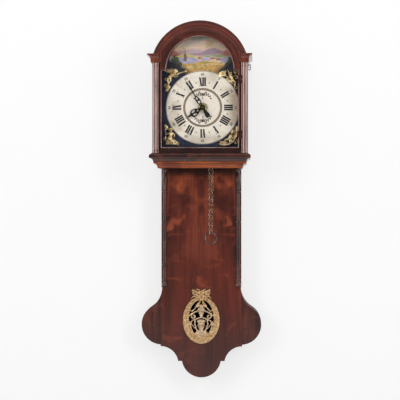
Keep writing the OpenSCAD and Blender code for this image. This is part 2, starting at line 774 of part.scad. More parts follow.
module hour_hand() color(black) {
    l = hour_len;
    hand(hour_angle, hour_hand_depth, hour_pipe_r) {
        twin_outline(concat([[0, l], [3.4, 52], [3, 47], [10, 42], [13, 34], [11, 24], [5, 14]],
            arc_points([0, 0], 8.5, 60, -89, 12)));
        union() {
            for (s = [-1, 1]) translate([s * 5.6, 33]) rotate(s * 14) polygon(ellipse_points(3.4, 7, 20));
            translate([0, 19]) polygon(ellipse_points(2.4, 4, 20));
        }
    }
}

// Round plate of turned brass behind the hour hand
module hand_collet() color(gilt) on_axis(dial_x, dial_drop, collet_depth) difference() {
    union() {
        cylinder(h = 0.9, r = 16);
        translate([0, 0, 0.9]) cylinder(h = 1.6, r1 = 12, r2 = 9);
    }
    translate([0, 0, -1]) cylinder(h = 5, r = hour_pipe_r);
}

// Flat toothed wheel with one tooth at the given angle
module gear(n, mod, phase, add, ded, tip, root) {
    r = n * mod / 2;
    polygon([for (i = [0:n - 1], p = [[-root, -ded], [-tip, add], [tip, add], [root, -ded]])
        (r + p[1] * mod) * [cos(phase + (i + p[0]) * 360 / n), sin(phase + (i + p[0]) * 360 / n)]]);
}

// Crossed wheel of brass on four arms
module wheel(n, mod, phase) linear_extrude(wheel_t) {
    inner = n * mod / 2 - mod - 3.2;
    difference() {
        gear(n, mod, phase, 0.5, 0.9, 0.08, 0.21);
        circle(inner);
    }
    for (a = [0, 90]) rotate(a + 45) square([2 * inner + 2, 3.4], center = true);
    circle(6);
}

module pinion(n, mod, phase, length) linear_extrude(length) gear(n, mod, phase, 0.3, 0.9, 0.07, 0.15);

// Arbor between two bearing faces, with a thinner pivot at each end
module arbor(x, drop, low, high) {
    on_axis(x, drop, low + board_gap) cylinder(h = high - low - 2 * board_gap, r = arbor_r);
    on_axis(x, drop, low - pivot_len) cylinder(h = high - low + 2 * pivot_len, r = pivot_r);
}

// Wheel with the pinion under it, both on one arbor between two bars
module train_wheel(n, mod, drop, depth, leaves, leaf_mod, driver_depth, low, high) {
    arbor(dial_x, drop, low, high);
    on_axis(dial_x, drop, depth) wheel(n, mod, 90);
    on_axis(dial_x, drop, driver_depth - 1) pinion(leaves, leaf_mod, -90 + 180 / leaves, wheel_t + 2);
}

// Grooved chain wheel whose spikes stand where the flat links lie
module sprocket(r, links, depth, first) {
    shoulder = r - link_wire_r - 0.8;
    groove = r - link_half_w - 0.5;
    on_axis(dial_x, great_drop, depth - 4) {
        for (z = [0, 5.8]) translate([0, 0, z]) cylinder(h = 2.2, r = shoulder);
        cylinder(h = 8, r = groove);
        for (i = [0:links / 2 - 1]) rotate(first + i * 720 / links) translate([0, 0, 4]) rotate([0, 90, 0])
            cylinder(h = r + 2.4, r = 0.9);
    }
}

module bar(depth, arms) {
    facing(depth, iron_t) union() {
        translate([dial_x - bar_half_w, -bottom_plate_drop + iron_t])
            square([2 * bar_half_w, bottom_plate_drop - iron_t - top_plate_drop]);
        if (arms) translate([hammer_x - 7, -lever_drop - 7])
            square([lever_x - hammer_x + 14, lever_drop - hammer_drop + 14]);
    }
}

module bearing(x, drop, depth, r) on_axis(x, drop, depth - 1) cylinder(h = iron_t + 2, r = r + pivot_gap);

module front_bar() color(brass) {
    difference() {
        bar(front_bar_depth, false);
        for (drop = [great_drop, third_drop, escape_drop, swing_drop]) bearing(dial_x, drop,
            front_bar_depth, pivot_r);
        bearing(dial_x, dial_drop, front_bar_depth, arbor_r);
    }
    on_axis(dial_x, dial_drop + motion_dist, front_top) cylinder(h = plate_depth - front_top - 0.6,
        r = stud_r);
}

module centre_bar() color(brass) difference() {
    bar(centre_bar_depth, true);
    for (drop = [great_drop, dial_drop, third_drop, escape_drop, warn_drop, fly_drop])
        bearing(dial_x, drop, centre_bar_depth, pivot_r);
    bearing(dial_x, swing_drop, centre_bar_depth, arbor_r);
    bearing(hammer_x, hammer_drop, centre_bar_depth, pivot_r);
    bearing(lever_x, lever_drop, centre_bar_depth, pivot_r);
}

module rear_bar() color(brass) {
    difference() {
        bar(rear_bar_depth, true);
        for (drop = [hoop_drop, warn_drop, fly_drop]) bearing(dial_x, drop, rear_bar_depth, pivot_r);
        for (drop = [great_drop, swing_drop]) bearing(dial_x, drop, rear_bar_depth, arbor_r);
        bearing(hammer_x, hammer_drop, rear_bar_depth, pivot_r);
        bearing(lever_x, lever_drop, rear_bar_depth, arbor_r);
    }
    on_axis(dial_x, count_drop, count_depth - 1.6) cylinder(h = rear_bar_depth - count_depth + 1.6,
        r = stud_r);
    on_axis(dial_x, count_drop, count_depth + wheel_t + 0.2)
        cylinder(h = rear_bar_depth - count_depth - wheel_t - 0.2, r = stud_r + 1.4);
    on_axis(dial_x, count_drop, count_depth - 1.6) cylinder(h = 1.3, r = stud_r + 1.2);
}

module iron_plate(drop) translate([dial_x - iron_half_w, -plate_front, -drop])
    cube([2 * iron_half_w, plate_front - plate_rear, iron_t]);

module bottom_plate() color(iron) {
    difference() {
        iron_plate(bottom_plate_drop);
        chain_holes(bottom_plate_drop + 1, iron_t + 2);
    }
    for (s = [-1, 1], d = pillar_depths) translate([dial_x + s * pillar_x, -d, -bottom_plate_drop
        - iron_foot])
        cylinder(h = iron_foot, r = 5);
}

module top_plate() color(iron) difference() {
    iron_plate(top_plate_drop);
    translate([dial_x - iron_half_w - 1, -strike_sprocket_depth - 6, -top_plate_drop - 1])
        cube([iron_half_w + hammer_x - dial_x - 12, 12, iron_t + 2]);
}

module pillars() color(brass) {
    low = bottom_plate_drop - iron_t;
    h = low - top_plate_drop;
    end = 30;
    for (s = [-1, 1], d = pillar_depths) translate([dial_x + s * pillar_x, -d, -low]) {
        for (z = [0, h - end]) translate([-pillar_w / 2, -pillar_w / 2, z]) cube([pillar_w, pillar_w, end]);
        translate([0, 0, end]) rotate_extrude() polygon([[0, 0], [5.5, 0], [5.5, 3], [3.6, 8], [3.2, 40],
            [4.6, 58],
            [4.6, h - 2 * end - 58], [3.2, h - 2 * end - 40], [3.6, h - 2 * end - 8], [5.5, h - 2 * end
                - 3],
            [5.5, h - 2 * end], [0, h - 2 * end]]);
    }
}

module going_great_wheel() color(brass) {
    arbor(dial_x, great_drop, centre_top, front_bar_depth);
    on_axis(dial_x, great_drop, great_depth) wheel(great_n, great_mod, 90);
    sprocket(going_r, going_links, going_sprocket_depth, 33.75);
    on_axis(dial_x, great_drop, great_depth + wheel_t) cylinder(h = 9, r = 8);
}

module centre_wheel() color(brass) {
    arbor(dial_x, dial_drop, centre_top, front_bar_depth);
    on_axis(dial_x, dial_drop, centre_depth) wheel(centre_n, great_mod, 90);
    on_axis(dial_x, dial_drop, great_depth - 1)
        pinion(centre_pinion_n, great_mod, -90 + 180 / centre_pinion_n, wheel_t + 2);
    on_axis(dial_x, dial_drop, front_bar_depth - 1) cylinder(h = cannon_depth - front_bar_depth + 2,
        r = arbor_r);
    on_axis(dial_x, dial_drop, cannon_depth) pinion(cannon_n, motion_mod, -90, 3);
    on_axis(dial_x, dial_drop, cannon_depth) cylinder(h = minute_hand_depth - cannon_depth,
        r = cannon_pipe_r);
    on_axis(dial_x, dial_drop, cannon_depth) cylinder(h = minute_hand_depth + hand_t + 4 - cannon_depth,
        r = centre_front_r);
}

module third_wheel() color(brass) train_wheel(third_n, third_mod, third_drop, third_depth, leaf_n,
    great_mod,
    centre_depth, centre_top, front_bar_depth);

module escape_wheel() color(brass) {
    arbor(dial_x, escape_drop, centre_top, front_bar_depth);
    on_axis(dial_x, escape_drop, third_depth - 1) pinion(leaf_n, third_mod, -90 + 180 / leaf_n, wheel_t
        + 2);
    on_axis(dial_x, escape_drop, escape_depth) linear_extrude(wheel_t) {
        difference() {
            polygon([for (i = [0:escape_n - 1], p = [[-0.3, 4], [0.1, 0], [0.28, 4]])
                (escape_r - p[1]) * [cos((i + p[0]) * 360 / escape_n), sin((i + p[0]) * 360 / escape_n)]]);
            circle(escape_r - 7);
        }
        for (a = [0, 90]) rotate(a) square([2 * escape_r - 12, 2.6], center = true);
        circle(4.5);
    }
}

// Half of the anchor's outline, from the top of its hub round the right pallet to the underside
pallet_side = [[2, 5], [10, 0], [18.5, -12], [20.5, -19], [15.5, -17.5], [13, -10], [7, -5], [2, -5]];

// Anchor with its two pallets, and behind the bars the crutch that embraces the pendulum's rod
module anchor() color(steel) {
    on_axis(dial_x, swing_drop, crutch_depth - 2) cylinder(h = front_bar_depth - board_gap
        - crutch_depth + 2, r = arbor_r);
    on_axis(dial_x, swing_drop, front_bar_depth - 1) cylinder(h = pivot_len + 1, r = pivot_r);
    on_axis(dial_x, swing_drop, escape_depth) linear_extrude(wheel_t) polygon(concat(pallet_side,
        [for (i = [len(pallet_side) - 1:-1:0]) [-pallet_side[i][0], pallet_side[i][1]]]));
    on_axis(dial_x, swing_drop, crutch_depth - 2.2) cylinder(h = 4.4, r = 3.6);
    translate([dial_x, -crutch_depth, -swing_drop - crutch_len])
        cylinder(h = crutch_len, r = 1.2);
    translate([dial_x - 4, -crutch_depth - 2, -swing_drop - crutch_len - 2]) difference() {
        cube([8, crutch_depth - swing_depth + 7, 3]);
        translate([4 - rod_r - 0.35, crutch_depth - swing_depth - 3, -1]) cube([2 * rod_r + 0.7, 20, 5]);
    }
}

module suspension_cock() color(iron) difference() {
    union() {
        translate([dial_x - 7, -plate_rear - 16, -top_plate_drop + iron_t])
            cube([14, plate_rear + 16 - swing_depth + 6, iron_t]);
        translate([dial_x - 7, -swing_depth - 6, -swing_drop + 4])
            cube([14, 12, swing_drop - top_plate_drop + iron_t - 4 + eps]);
    }
    translate([dial_x - 1, -swing_depth - 4.3, -swing_drop - 1]) cube([2, 8.6, 15.3]);
}

module suspension_spring() color(steel) translate([dial_x - 0.15, -swing_depth - 4, -swing_drop - 12])
    cube([0.3, 8, 26]);

module pendulum_rod() color(brass) translate([dial_x, -swing_depth, 0]) {
    translate([-2.5, -4, -swing_drop - 16]) difference() {
        cube([5, 8, 8]);
        translate([2.35, -1, 4]) cube([0.3, 10, 5]);
    }
    translate([0, 0, -swing_drop - swing_len - bob_r - 22]) cylinder(h = swing_len + bob_r + 22 - 15,
        r = rod_r);
}

module pendulum_bob() color(brass) translate([dial_x, -swing_depth, -swing_drop - swing_len]) difference() {
    lens_r = (bob_r * bob_r + bob_t * bob_t / 4) / bob_t;
    rotate([90, 0, 0]) rotate_extrude() polygon(concat([[0, -bob_t / 2]],
        arc_points([0, lens_r - bob_t / 2], lens_r, 271, 270 + asin(bob_r / lens_r), 6),
        arc_points([0, bob_t / 2 - lens_r], lens_r, 90 - asin(bob_r / lens_r), 89, 6), [[0, bob_t / 2]]));
    translate([0, 0, -bob_r - 1]) cylinder(h = 2 * bob_r + 2, r = rod_r + pivot_gap);
}

module rating_nut() color(brass) translate([dial_x, -swing_depth, -swing_drop - swing_len - bob_r - 7])
    difference() {
    cylinder(h = 6, r = 6, $fn = 48);
    translate([0, 0, -1]) cylinder(h = 8, r = rod_r + pivot_gap);
}

module minute_wheel() color(brass) on_axis(dial_x, dial_drop + motion_dist, cannon_depth + 0.5)
    difference() {
    union() {
        wheel(minute_n, motion_mod, 90 + 180 / minute_n);
        translate([0, 0, wheel_t]) pinion(minute_pinion_n, motion_mod, 90, 5.5);
    }
    translate([0, 0, -1]) cylinder(h = 12, r = stud_r + pivot_gap);
}

module hour_wheel() color(brass) on_axis(dial_x, dial_drop, hour_depth) difference() {
    union() {
        linear_extrude(1.6) gear(hour_n, motion_mod, -90 + 180 / hour_n, 0.5, 0.9, 0.08, 0.21);
        cylinder(h = hour_hand_depth + hand_t - hour_depth, r = hour_pipe_r);
    }
    translate([0, 0, -1]) cylinder(h = hour_hand_depth + hand_t - hour_depth + 2, r = cannon_pipe_r
        + pivot_gap);
}

module strike_great_wheel() color(brass) {
    on_axis(dial_x, great_drop, rear_top) cylinder(h = centre_bar_depth - rear_top - board_gap,
        r = arbor_r);
    on_axis(dial_x, great_drop, count_depth - 0.8) cylinder(h = rear_top + 1 - count_depth + 0.8,
        r = arbor_r);
    on_axis(dial_x, great_drop, centre_bar_depth - 1) cylinder(h = pivot_len + 1, r = pivot_r);
    on_axis(dial_x, great_drop, count_depth - 0.6) pinion(count_pinion_n, 1, 90, wheel_t + 1.2);
    on_axis(dial_x, great_drop, strike_depth) wheel(strike_n, great_mod, 90);
    for (i = [0:12])
        on_axis(dial_x + lift_ring * cos(i * 360 / 13), great_drop - lift_ring * sin(i * 360 / 13),
            strike_depth - lift_pin) cylinder(h = lift_pin + eps, r = 1);
}

module strike_sprocket() color(brass) difference() {
    sprocket(strike_r, strike_links, strike_sprocket_depth, 7.5);
    on_axis(dial_x, great_drop, strike_sprocket_depth - 5) cylinder(h = 10, r = arbor_r + pivot_gap);
}

module hoop_wheel() color(brass) train_wheel(hoop_n, third_mod, hoop_drop, hoop_depth, strike_leaf_n,
    great_mod,
    strike_depth, rear_top, centre_bar_depth);

module warning_wheel() color(brass) train_wheel(warn_n, warn_mod, warn_drop, warn_depth, strike_leaf_n,
    third_mod,
    hoop_depth, rear_top, centre_bar_depth);

module fly() color(brass) {
    arbor(dial_x, fly_drop, rear_top, centre_bar_depth);
    on_axis(dial_x, fly_drop, warn_depth - 1)
        pinion(strike_leaf_n, warn_mod, -90 + 180 / strike_leaf_n, wheel_t + 2);
    translate([dial_x - 13, -rear_top - 11, -fly_drop - 0.4]) cube([26, 9, 0.8]);
    on_axis(dial_x, fly_drop, rear_top + 2) cylinder(h = 9, r = arbor_r + 0.8);
}

// Count wheel with notches between the strokes of the hours
module count_wheel() color(brass) on_axis(dial_x, count_drop, count_depth) difference() {
    wheel(count_n, 1, -90 + 180 / count_n);
    translate([0, 0, -1]) cylinder(h = 5, r = stud_r + pivot_gap);
}

module bell() color(gilt) translate([dial_x, -strike_sprocket_depth, -bell_drop]) difference() {
    rotate_extrude() polygon(concat([for (t = [0:10:90]) [bell_r * cos(t), bell_h * sin(t)]],
        [for (t = [90:-10:0]) [(bell_r - 2.5) * cos(t), (bell_h - 2.5) * sin(t)]]));
    cylinder(h = bell_h + 1, r = 2);
}

module bell_stand() color(iron) translate([dial_x, -strike_sprocket_depth, -top_plate_drop + iron_t]) {
    crown = top_plate_drop - iron_t - bell_drop + bell_h;
    cylinder(h = crown - 2.6, r = 3);
    cylinder(h = crown + 4, r = 1.9);
    translate([0, 0, crown]) cylinder(h = 3, r = 4.5, $fn = 6);
}

module hammer() color(steel) {
    dx = bell_x_left - 5 - hammer_x;
    dz = hammer_drop - bell_drop - 6;
    arbor(hammer_x, hammer_drop, rear_top, centre_bar_depth);
    translate([hammer_x, -strike_sprocket_depth, -hammer_drop]) {
        rotate([0, atan2(dx, dz), 0]) cylinder(h = norm([dx, dz]), r = hammer_arm_r);
        translate([dx - hammer_head_len / 2 - 0.5, 0, dz]) rotate([0, 90, 0])
            cylinder(h = hammer_head_len, r = hammer_head_r);
    }
    on_axis(hammer_x, hammer_drop, rear_top + 1.6) cylinder(h = 2.4, r = 4);
    translate([hammer_x - 0.6, -rear_top - 4, -hammer_drop - hammer_tail]) cube([3.4, 2.4, hammer_tail]);
}

module locking_lever() color(steel) {
    on_axis(lever_x, lever_drop, count_depth) cylinder(h = centre_bar_depth - count_depth - board_gap,
        r = arbor_r);
    on_axis(lever_x, lever_drop, centre_bar_depth - 1) cylinder(h = pivot_len + 1, r = pivot_r);
    on_axis(lever_x, lever_drop, count_depth) cylinder(h = wheel_t, r = 3.6);
    facing(count_depth, wheel_t) translate([lever_x, -lever_drop]) rotate(atan2(-19, -7))
        translate([0, -1.4]) square([20, 2.8]);
}

// One link whose long axis is local z, lying in the local xz plane
module link(end_r, straight, wire) {
    for (s = [0, 1]) mirror([0, 0, s]) translate([0, 0, straight / 2]) rotate([90, 0, 0])
        rotate_extrude(angle = 180, $fn = 24) translate([end_r, 0]) circle(wire, $fn = 16);
    for (s = [-1, 1]) translate([s * end_r, 0, -straight / 2]) cylinder(h = straight, r = wire, $fn = 16);
}

// Chain of links down a straight line. The first link's plane has the given bearing seen from above,
// and each next one is turned a quarter.
module strand(from, to, n, bearing) {
    d = to - from;
    az = atan2(d[1], d[0]);
    for (i = [0:n - 1]) translate(from + d * (i + 0.5) / n)
        rotate([0, acos(d[2] / norm(d)), az]) rotate([0, 0, az - bearing + 90 * (i % 2)])
            link(link_end_r, link_straight, link_wire_r);
}

module hanging_chain() color(iron) for (side = [-1, 1]) {
    from = side < 0 ? right_going : right_strike;
    end = [ring_x + side * 4.2, -ring_depth, -ring_top + strand_rise];
    odd = side < 0 ? 0 : 1;
    n = 2 * round((norm(end - from) / link_pitch - odd) / 2) + odd;
    strand(from, end, n, side < 0 ? 90 : 0);
    translate([end[0], end[1], -ring_top + end_link_rise]) rotate([0, 0, 90])
        link(end_link_r, end_link_straight, end_wire_r);
}

// Links over one sprocket's upper half, from the right to the left
module chain_wrap(r, links, depth, first) for (i = [0:links / 2 - 1]) {
    a = (i + 0.5) * 360 / links;
    translate([dial_x + r * cos(a), -depth, -great_drop + r * sin(a)]) rotate([0, -a, 0])
        rotate([0, 0, 90 * ((i + first) % 2)]) link(link_end_r, link_straight, link_wire_r);
}

module chain_over_wheels() color(iron) {
    chain_wrap(going_r, going_links, going_sprocket_depth, 0);
    chain_wrap(strike_r, strike_links, strike_sprocket_depth, 1);
    across = left_strike - left_going;
    loop_r = norm(across) / 2;
    low = [0, 0, loop_r + great_drop - loop_drop];
    n = 2 * floor(-low[2] / link_pitch / 2) + 1;
    az = atan2(across[1], across[0]);
    strand(left_going, left_going + low, n, az - 90);
    strand(left_strike, left_strike + low, n, az);
    for (i = [0:7]) {
        a = (i + 0.5) * 180 / 8;
        translate((left_going + left_strike) / 2 + low) rotate([0, 0, az])
            translate([-loop_r * cos(a), 0, -loop_r * sin(a)]) rotate([0, 180 - a, 0])
                rotate([0, 0, 90 * (i % 2)]) link(link_end_r, link_straight, link_wire_r);
    }
}

module chain_ring() color(iron) on_axis(ring_x, ring_drop, ring_depth) rotate_extrude()
    translate([ring_mid_r, 0]) circle(ring_wire_r, $fn = 32);

backboard();
trunk_front();
tail_ears();
trunk_sides();
tail_rim();
half_columns();
oval_ornament();
ornament_pins();
seat_board();
trunk_cornice();
hood_sides();
hood_roof();
hood_frame();
hood_base();
arch_moulding();
capital_blocks();
hood_columns();
hinge_pins();
hood_hook();
door_frame();
door_glass();
hinge_knuckles();
dial_plate();
chapter_disc();
spandrels();
dial_feet();
minute_hand();
hour_hand();
hand_collet();
bottom_plate();
top_plate();
pillars();
front_bar();
centre_bar();
rear_bar();
going_great_wheel();
centre_wheel();
third_wheel();
escape_wheel();
anchor();
suspension_cock();
suspension_spring();
pendulum_rod();
pendulum_bob();
rating_nut();
minute_wheel();
hour_wheel();
strike_great_wheel();
strike_sprocket();
hoop_wheel();
warning_wheel();
fly();
count_wheel();
bell();
bell_stand();
hammer();
locking_lever();
hanging_chain();
chain_over_wheels();
chain_ring();
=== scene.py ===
import json
from contextlib import contextmanager
from math import acos, atan2, cos, degrees, exp, hypot, pi, radians, sin
import bmesh
import bpy
from mathutils import Euler, Matrix, Vector, noise

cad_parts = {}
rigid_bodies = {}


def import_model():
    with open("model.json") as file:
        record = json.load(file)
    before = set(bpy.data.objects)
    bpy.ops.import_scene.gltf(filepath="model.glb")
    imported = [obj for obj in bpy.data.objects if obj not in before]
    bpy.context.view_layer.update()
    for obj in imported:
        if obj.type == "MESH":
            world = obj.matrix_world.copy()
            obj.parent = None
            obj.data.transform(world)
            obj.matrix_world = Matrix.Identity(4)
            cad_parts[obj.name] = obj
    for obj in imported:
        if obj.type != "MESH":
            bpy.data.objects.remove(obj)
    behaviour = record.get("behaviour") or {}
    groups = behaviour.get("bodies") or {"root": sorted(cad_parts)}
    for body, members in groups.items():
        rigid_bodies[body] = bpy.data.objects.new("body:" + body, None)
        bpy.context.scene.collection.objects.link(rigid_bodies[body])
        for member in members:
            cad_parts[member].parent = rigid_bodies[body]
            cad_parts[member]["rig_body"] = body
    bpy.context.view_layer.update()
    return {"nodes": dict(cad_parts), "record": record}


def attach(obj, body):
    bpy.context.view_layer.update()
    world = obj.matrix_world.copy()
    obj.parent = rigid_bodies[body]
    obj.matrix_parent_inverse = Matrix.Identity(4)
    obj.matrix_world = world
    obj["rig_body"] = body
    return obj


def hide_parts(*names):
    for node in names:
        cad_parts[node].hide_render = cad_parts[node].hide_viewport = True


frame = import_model()
nodes = frame["nodes"]
milli = 0.001
dialAt = (8.0, -220.0)  # right and up of the hands' arbor, in millimetres
print("frame loaded,", len(nodes), "pieces from the workshop drawing")


def added(name, data):
    made = bpy.data.objects.new(name, data)
    bpy.context.scene.collection.objects.link(made)
    return made


# Camera: a long lens, level, a little to the right of the clock's front
camera = {"distance": 4.53, "turn": 2.2, "aim": (-0.0044, -0.072, -0.524), "seen": 1.344,
          "sensor": 36.0, "far": 50.0}


def setCamera(c):
    data = bpy.data.cameras.new("camera")
    data.sensor_width, data.clip_end = c["sensor"], c["far"]
    data.lens = c["sensor"] * c["distance"] / c["seen"]
    shot = added("camera", data)
    turn = radians(c["turn"])
    back = Vector((sin(turn), -cos(turn), 0))
    shot.location = Vector(c["aim"]) + back * c["distance"]
    shot.rotation_euler = (-back).to_track_quat("-Z", "Y").to_euler()
    bpy.context.scene.camera = shot


setCamera(camera)
bpy.context.scene.view_settings.view_transform = "Standard"


# A node's output that can be added to, taken from or multiplied, each of which adds a node to its tree
class Flow:
    def __init__(self, tree, socket):
        self.tree, self.socket = tree, socket

    def math(self, operation, *others, clamp=False):
        return put(self.tree, "Math", dict(enumerate((self, *others))), operation=operation, use_clamp=clamp)

    def __add__(self, other):
        return self.math("ADD", other)

    def __sub__(self, other):
        return self.math("SUBTRACT", other)

    def __rsub__(self, other):
        return put(self.tree, "Math", {0: other, 1: self}, operation="SUBTRACT")

    def __mul__(self, other):
        return self.math("MULTIPLY", other)

    def __abs__(self):
        return self.math("ABSOLUTE")


# put() adds a node, fills or links its sockets and gives one output, or all of them by name if out is None
def put(tree, kind, sockets=None, out=0, family="ShaderNode", **settings):
    made = tree.nodes.new(family + kind)
    for key, value in settings.items():
        setattr(made, key, value)
    for key, value in (sockets or {}).items():
        if isinstance(value, Flow):
            tree.links.new(value.socket, made.inputs[key])
        else:
            made.inputs[key].default_value = value
    return flows(tree, made) if out is None else Flow(tree, made.outputs[out])


def flows(tree, made):
    return {socket.name: Flow(tree, socket) for socket in made.outputs if socket.name}


def tone(code):
    channels = [int(code[i:i + 2], 16) / 255 for i in (0, 2, 4)]
    return tuple(c / 12.92 if c < 0.04045 else ((c + 0.055) / 1.055) ** 2.4 for c in channels) + (1,)


def blend(share, a, b):
    a, b = [tone(c) if isinstance(c, str) else c for c in (a, b)]
    return put(share.tree, "Mix", {0: share, 6: a, 7: b}, 2, data_type="RGBA")


def between(share, a, b):
    return put(share.tree, "Mix", {0: share, 2: a, 3: b}, data_type="FLOAT")


def ranged(value, low, high, toLow=0.0, toHigh=1.0):
    sockets = {"Value": value, "From Min": low, "From Max": high, "To Min": toLow, "To Max": toHigh}
    return put(value.tree, "MapRange", sockets, interpolation_type="SMOOTHSTEP")


def ramp(value, stops):
    made = put(value.tree, "ValToRGB", {"Fac": value})
    line = made.socket.node.color_ramp
    while len(line.elements) < len(stops):
        line.elements.new(0.5)
    for element, (spot, code) in zip(line.elements, stops):
        element.position, element.color = spot, tone(code)
    return made


def cloud(place, scale, detail=3.0, distortion=0.0):
    sockets = {"Vector": place, "Scale": scale, "Detail": detail, "Distortion": distortion}
    return put(place.tree, "TexNoise", sockets)


def stretched(place, scale, shift=(0, 0, 0)):
    return put(place.tree, "Mapping", {"Vector": place, "Scale": scale, "Location": shift})


def shifted(place, by):
    return put(place.tree, "VectorMath", {0: place, 1: by}, operation="ADD")


def lengthOf(place):
    return put(place.tree, "VectorMath", {0: place}, "Value", operation="LENGTH")


def partsOf(place):
    return list(put(place.tree, "SeparateXYZ", {0: place}, None).values())


# A node tree of its own with one main input, named outputs and numbers that can be set
sockets = {"Place": "NodeSocketVector", "Geometry": "NodeSocketGeometry"}


def newTree(name, kind, main, outs, **numbers):
    tree = bpy.data.node_groups.new(name, kind)
    tree.interface.new_socket(main, in_out="INPUT", socket_type=sockets[main])
    for label in outs:
        tree.interface.new_socket(label, in_out="OUTPUT", socket_type=sockets.get(label, "NodeSocketFloat"))
    for label, value in numbers.items():
        number = "NodeSocketInt" if isinstance(value, int) else "NodeSocketFloat"
        tree.interface.new_socket(label, in_out="INPUT", socket_type=number).default_value = value
    return tree, flows(tree, tree.nodes.new("NodeGroupInput")), tree.nodes.new("NodeGroupOutput").inputs


def newGroup(name, outs, **numbers):
    return newTree(name, "ShaderNodeTree", "Place", outs, **numbers)


def close(group, ends, values):
    for label, value in values.items():
        group.links.new(value.socket, ends[label])
    return group


# Grain of a sawn board, running along the z of the place it is given
def makeGrain():
    outs = ("Shade", "Flame", "Pores")
    group, given, ends = newGroup("boardGrain", outs, Figure=9.0, Streaks=60.0, Fibre=420.0)
    place = given["Place"]
    figure = cloud(stretched(place, (1, 1, 0.34)), given["Figure"], 3.0, 1.3)
    bent = shifted(place, put(group, "CombineXYZ", {"X": figure * 0.03}))
    streak = cloud(stretched(bent, (1, 1, 0.05)), given["Streaks"], 3.0, 0.2)
    fibre = cloud(stretched(bent, (1, 1, 0.016)), given["Fibre"], 2.0)
    shade = figure * 0.5 + streak * 0.34 + fibre * 0.16
    flame = cloud(stretched(place, (1, 1, 1.5), (3, 1, 2)), 16.0, 2.0, 0.8)
    return close(group, ends, {"Shade": shade, "Flame": flame, "Pores": ranged(fibre, 0.34, 0.5)})


# Dirt that gathers in corners and grooves, with an uneven edge, together with painted shade there: the mask is
# ambient occlusion
def makeDirtAndShade():
    group, given, ends = newGroup("dirtAndPaintedShade", ("Mask", "Spotting"), Reach=0.005, Spots=90.0)
    shelter = put(group, "AmbientOcclusion", {"Distance": given["Reach"]}, "AO", samples=6)
    patch = cloud(given["Place"], given["Spots"], 4.0)
    bare = shelter + (patch - 0.5) * 0.35
    return close(group, ends, {"Mask": ranged(bare, 0.35, 0.95, 1.0, 0.0), "Spotting": patch})


# Bright rubbed spots and dull tarnish of old metal
def makeTarnish():
    group, given, ends = newGroup("oldTarnish", ("Mask", "Grit"), Patches=30.0)
    broad = cloud(given["Place"], given["Patches"], 4.0, 0.4)
    fine = cloud(given["Place"], given["Patches"] * 14.0)
    return close(group, ends, {"Mask": ranged(broad * 0.7 + fine * 0.3, 0.4, 0.62), "Grit": fine})


grainGroup, dirtShadeGroup, tarnishGroup = makeGrain(), makeDirtAndShade(), makeTarnish()


def grouped(group, place, **values):
    return put(place.tree, "Group", {"Place": place, **values}, None, node_tree=group)


def newMaterial(name, **plain):
    made = bpy.data.materials.new(name)
    made.use_nodes = True
    for key, value in plain.items():
        made.node_tree.nodes["Principled BSDF"].inputs[key.replace("_", " ")].default_value = value
    return made, put(made.node_tree, "TexCoord", out="Object")


def feed(material, **values):
    shader = material.node_tree.nodes["Principled BSDF"]
    for key, value in values.items():
        material.node_tree.links.new(value.socket, shader.inputs[key.replace("_", " ")])


def bumped(material, height, strength, distance):
    sockets = {"Height": height, "Strength": strength, "Distance": distance}
    feed(material, Normal=put(height.tree, "Bump", sockets))
    return material


# Polished wood: run of the grain, dark, middle and light tones, seed, coat and what else it has.
# Clouds are right, up, reach, tone, share; fades are from and to height, share, tone
tailFade = (-0.9, -1.1, 0.5, "2a100c")
woods = {
    "trunkWood": ("up", "3d150e", "702c1d", "a14b2c", (0.3, 0, 0.12), 0.5, {
        # the first fade darkens the trunk just under the cornice: painted shadow of the hood's overhang
        "figure": 8.0, "matched": True, "fades": [(-0.452, -0.424, 0.8, "1d0a08"), tailFade],
        "clouds": [(0.066, -0.528, 0.055, "3a120d", 0.6), (0.088, -0.66, 0.05, "3a120d", 0.35),
                   (0.072, -0.466, 0.036, "c05c36", 0.75), (0.084, -0.594, 0.026, "b9593a", 0.6),
                   (0.042, -0.556, 0.022, "9c4a30", 0.5), (0.0, -0.66, 0.09, "8d4535", 0.35)]}),
    "tailWood": ("up", "240d0a", "4d221b", "733828", (2.1, 0, 0.4), 0.5, {"fades": [tailFade]}),
    "sideWood": ("up", "38150f", "5c2519", "7f3822", (5.1, 0, 1.3), 0.5),
    "frameWood": ("up", "2c100b", "51211a", "763629", (1.7, 0, 2.2), 0.8),
    "doorWood": ("bend", "240c09", "4d2019", "743528", (6.4, 0, 0.8), 0.7, {
        # the fade darkens the foot of the door frame: painted shade on its bottom rail
        "fades": [(-0.29, -0.345, 0.85, "1f0d0b")]}),
    "archWood": ("round", "2b0c06", "581b10", "88361d", (0.9, 0, 3.1), 0.35),
    "baseWood": ("across", "210d09", "4a2117", "713423", (3.4, 0, 1.9), 0.7),
    "coveWood": ("across", "41170b", "863a1d", "c0642f", (4.4, 0, 0.5), 0.35),
    "blockWood": ("up", "421810", "7c3524", "a55238", (7.2, 0, 0.9), 0.7),
    "columnWood": ("up", "31140f", "5a2a22", "84493c", (8.3, 0, 2.9), 1.0, {
        # the columns' stripes are painted highlights, where the soft boxes would reflect in the varnish
        "highlightStripes": {"at": 0.145, "deep": -0.1973, "count": 8.0, "code": "efc6bb", "share": 0.9}}),
    "turnedWood": ("up", "1d0f0c", "3f251d", "7a4d41", (9.1, 0, 0.2), 0.9),
    "lipHighlightWood": ("up", "6d4c46", "96726a", "bfa59c", (2.4, 0, 1.1), 1.0),
    "oldOak": ("up", "3d2818", "5a3d27", "765437", (1.1, 0, 0.3), 0.05),
    "oldOakAcross": ("across", "3d2818", "5a3d27", "765437", (4.1, 0, 1.3), 0.05),
}
# Where the arch's centre is and how far out its wood lies; from where to where the matched veneer turns plain, and
# how dark its edges are; dirt together with painted shade in the corners
woodBuild = {"archUp": -0.1, "archReach": 0.145, "plain": (-0.62, -0.78), "plainSeed": (4.0, 0, 1.7),
             "edge": (0.07, 0.15, 0.0, 0.12), "dirtAndShade": "170a08", "dirtShadeReach": 0.006}


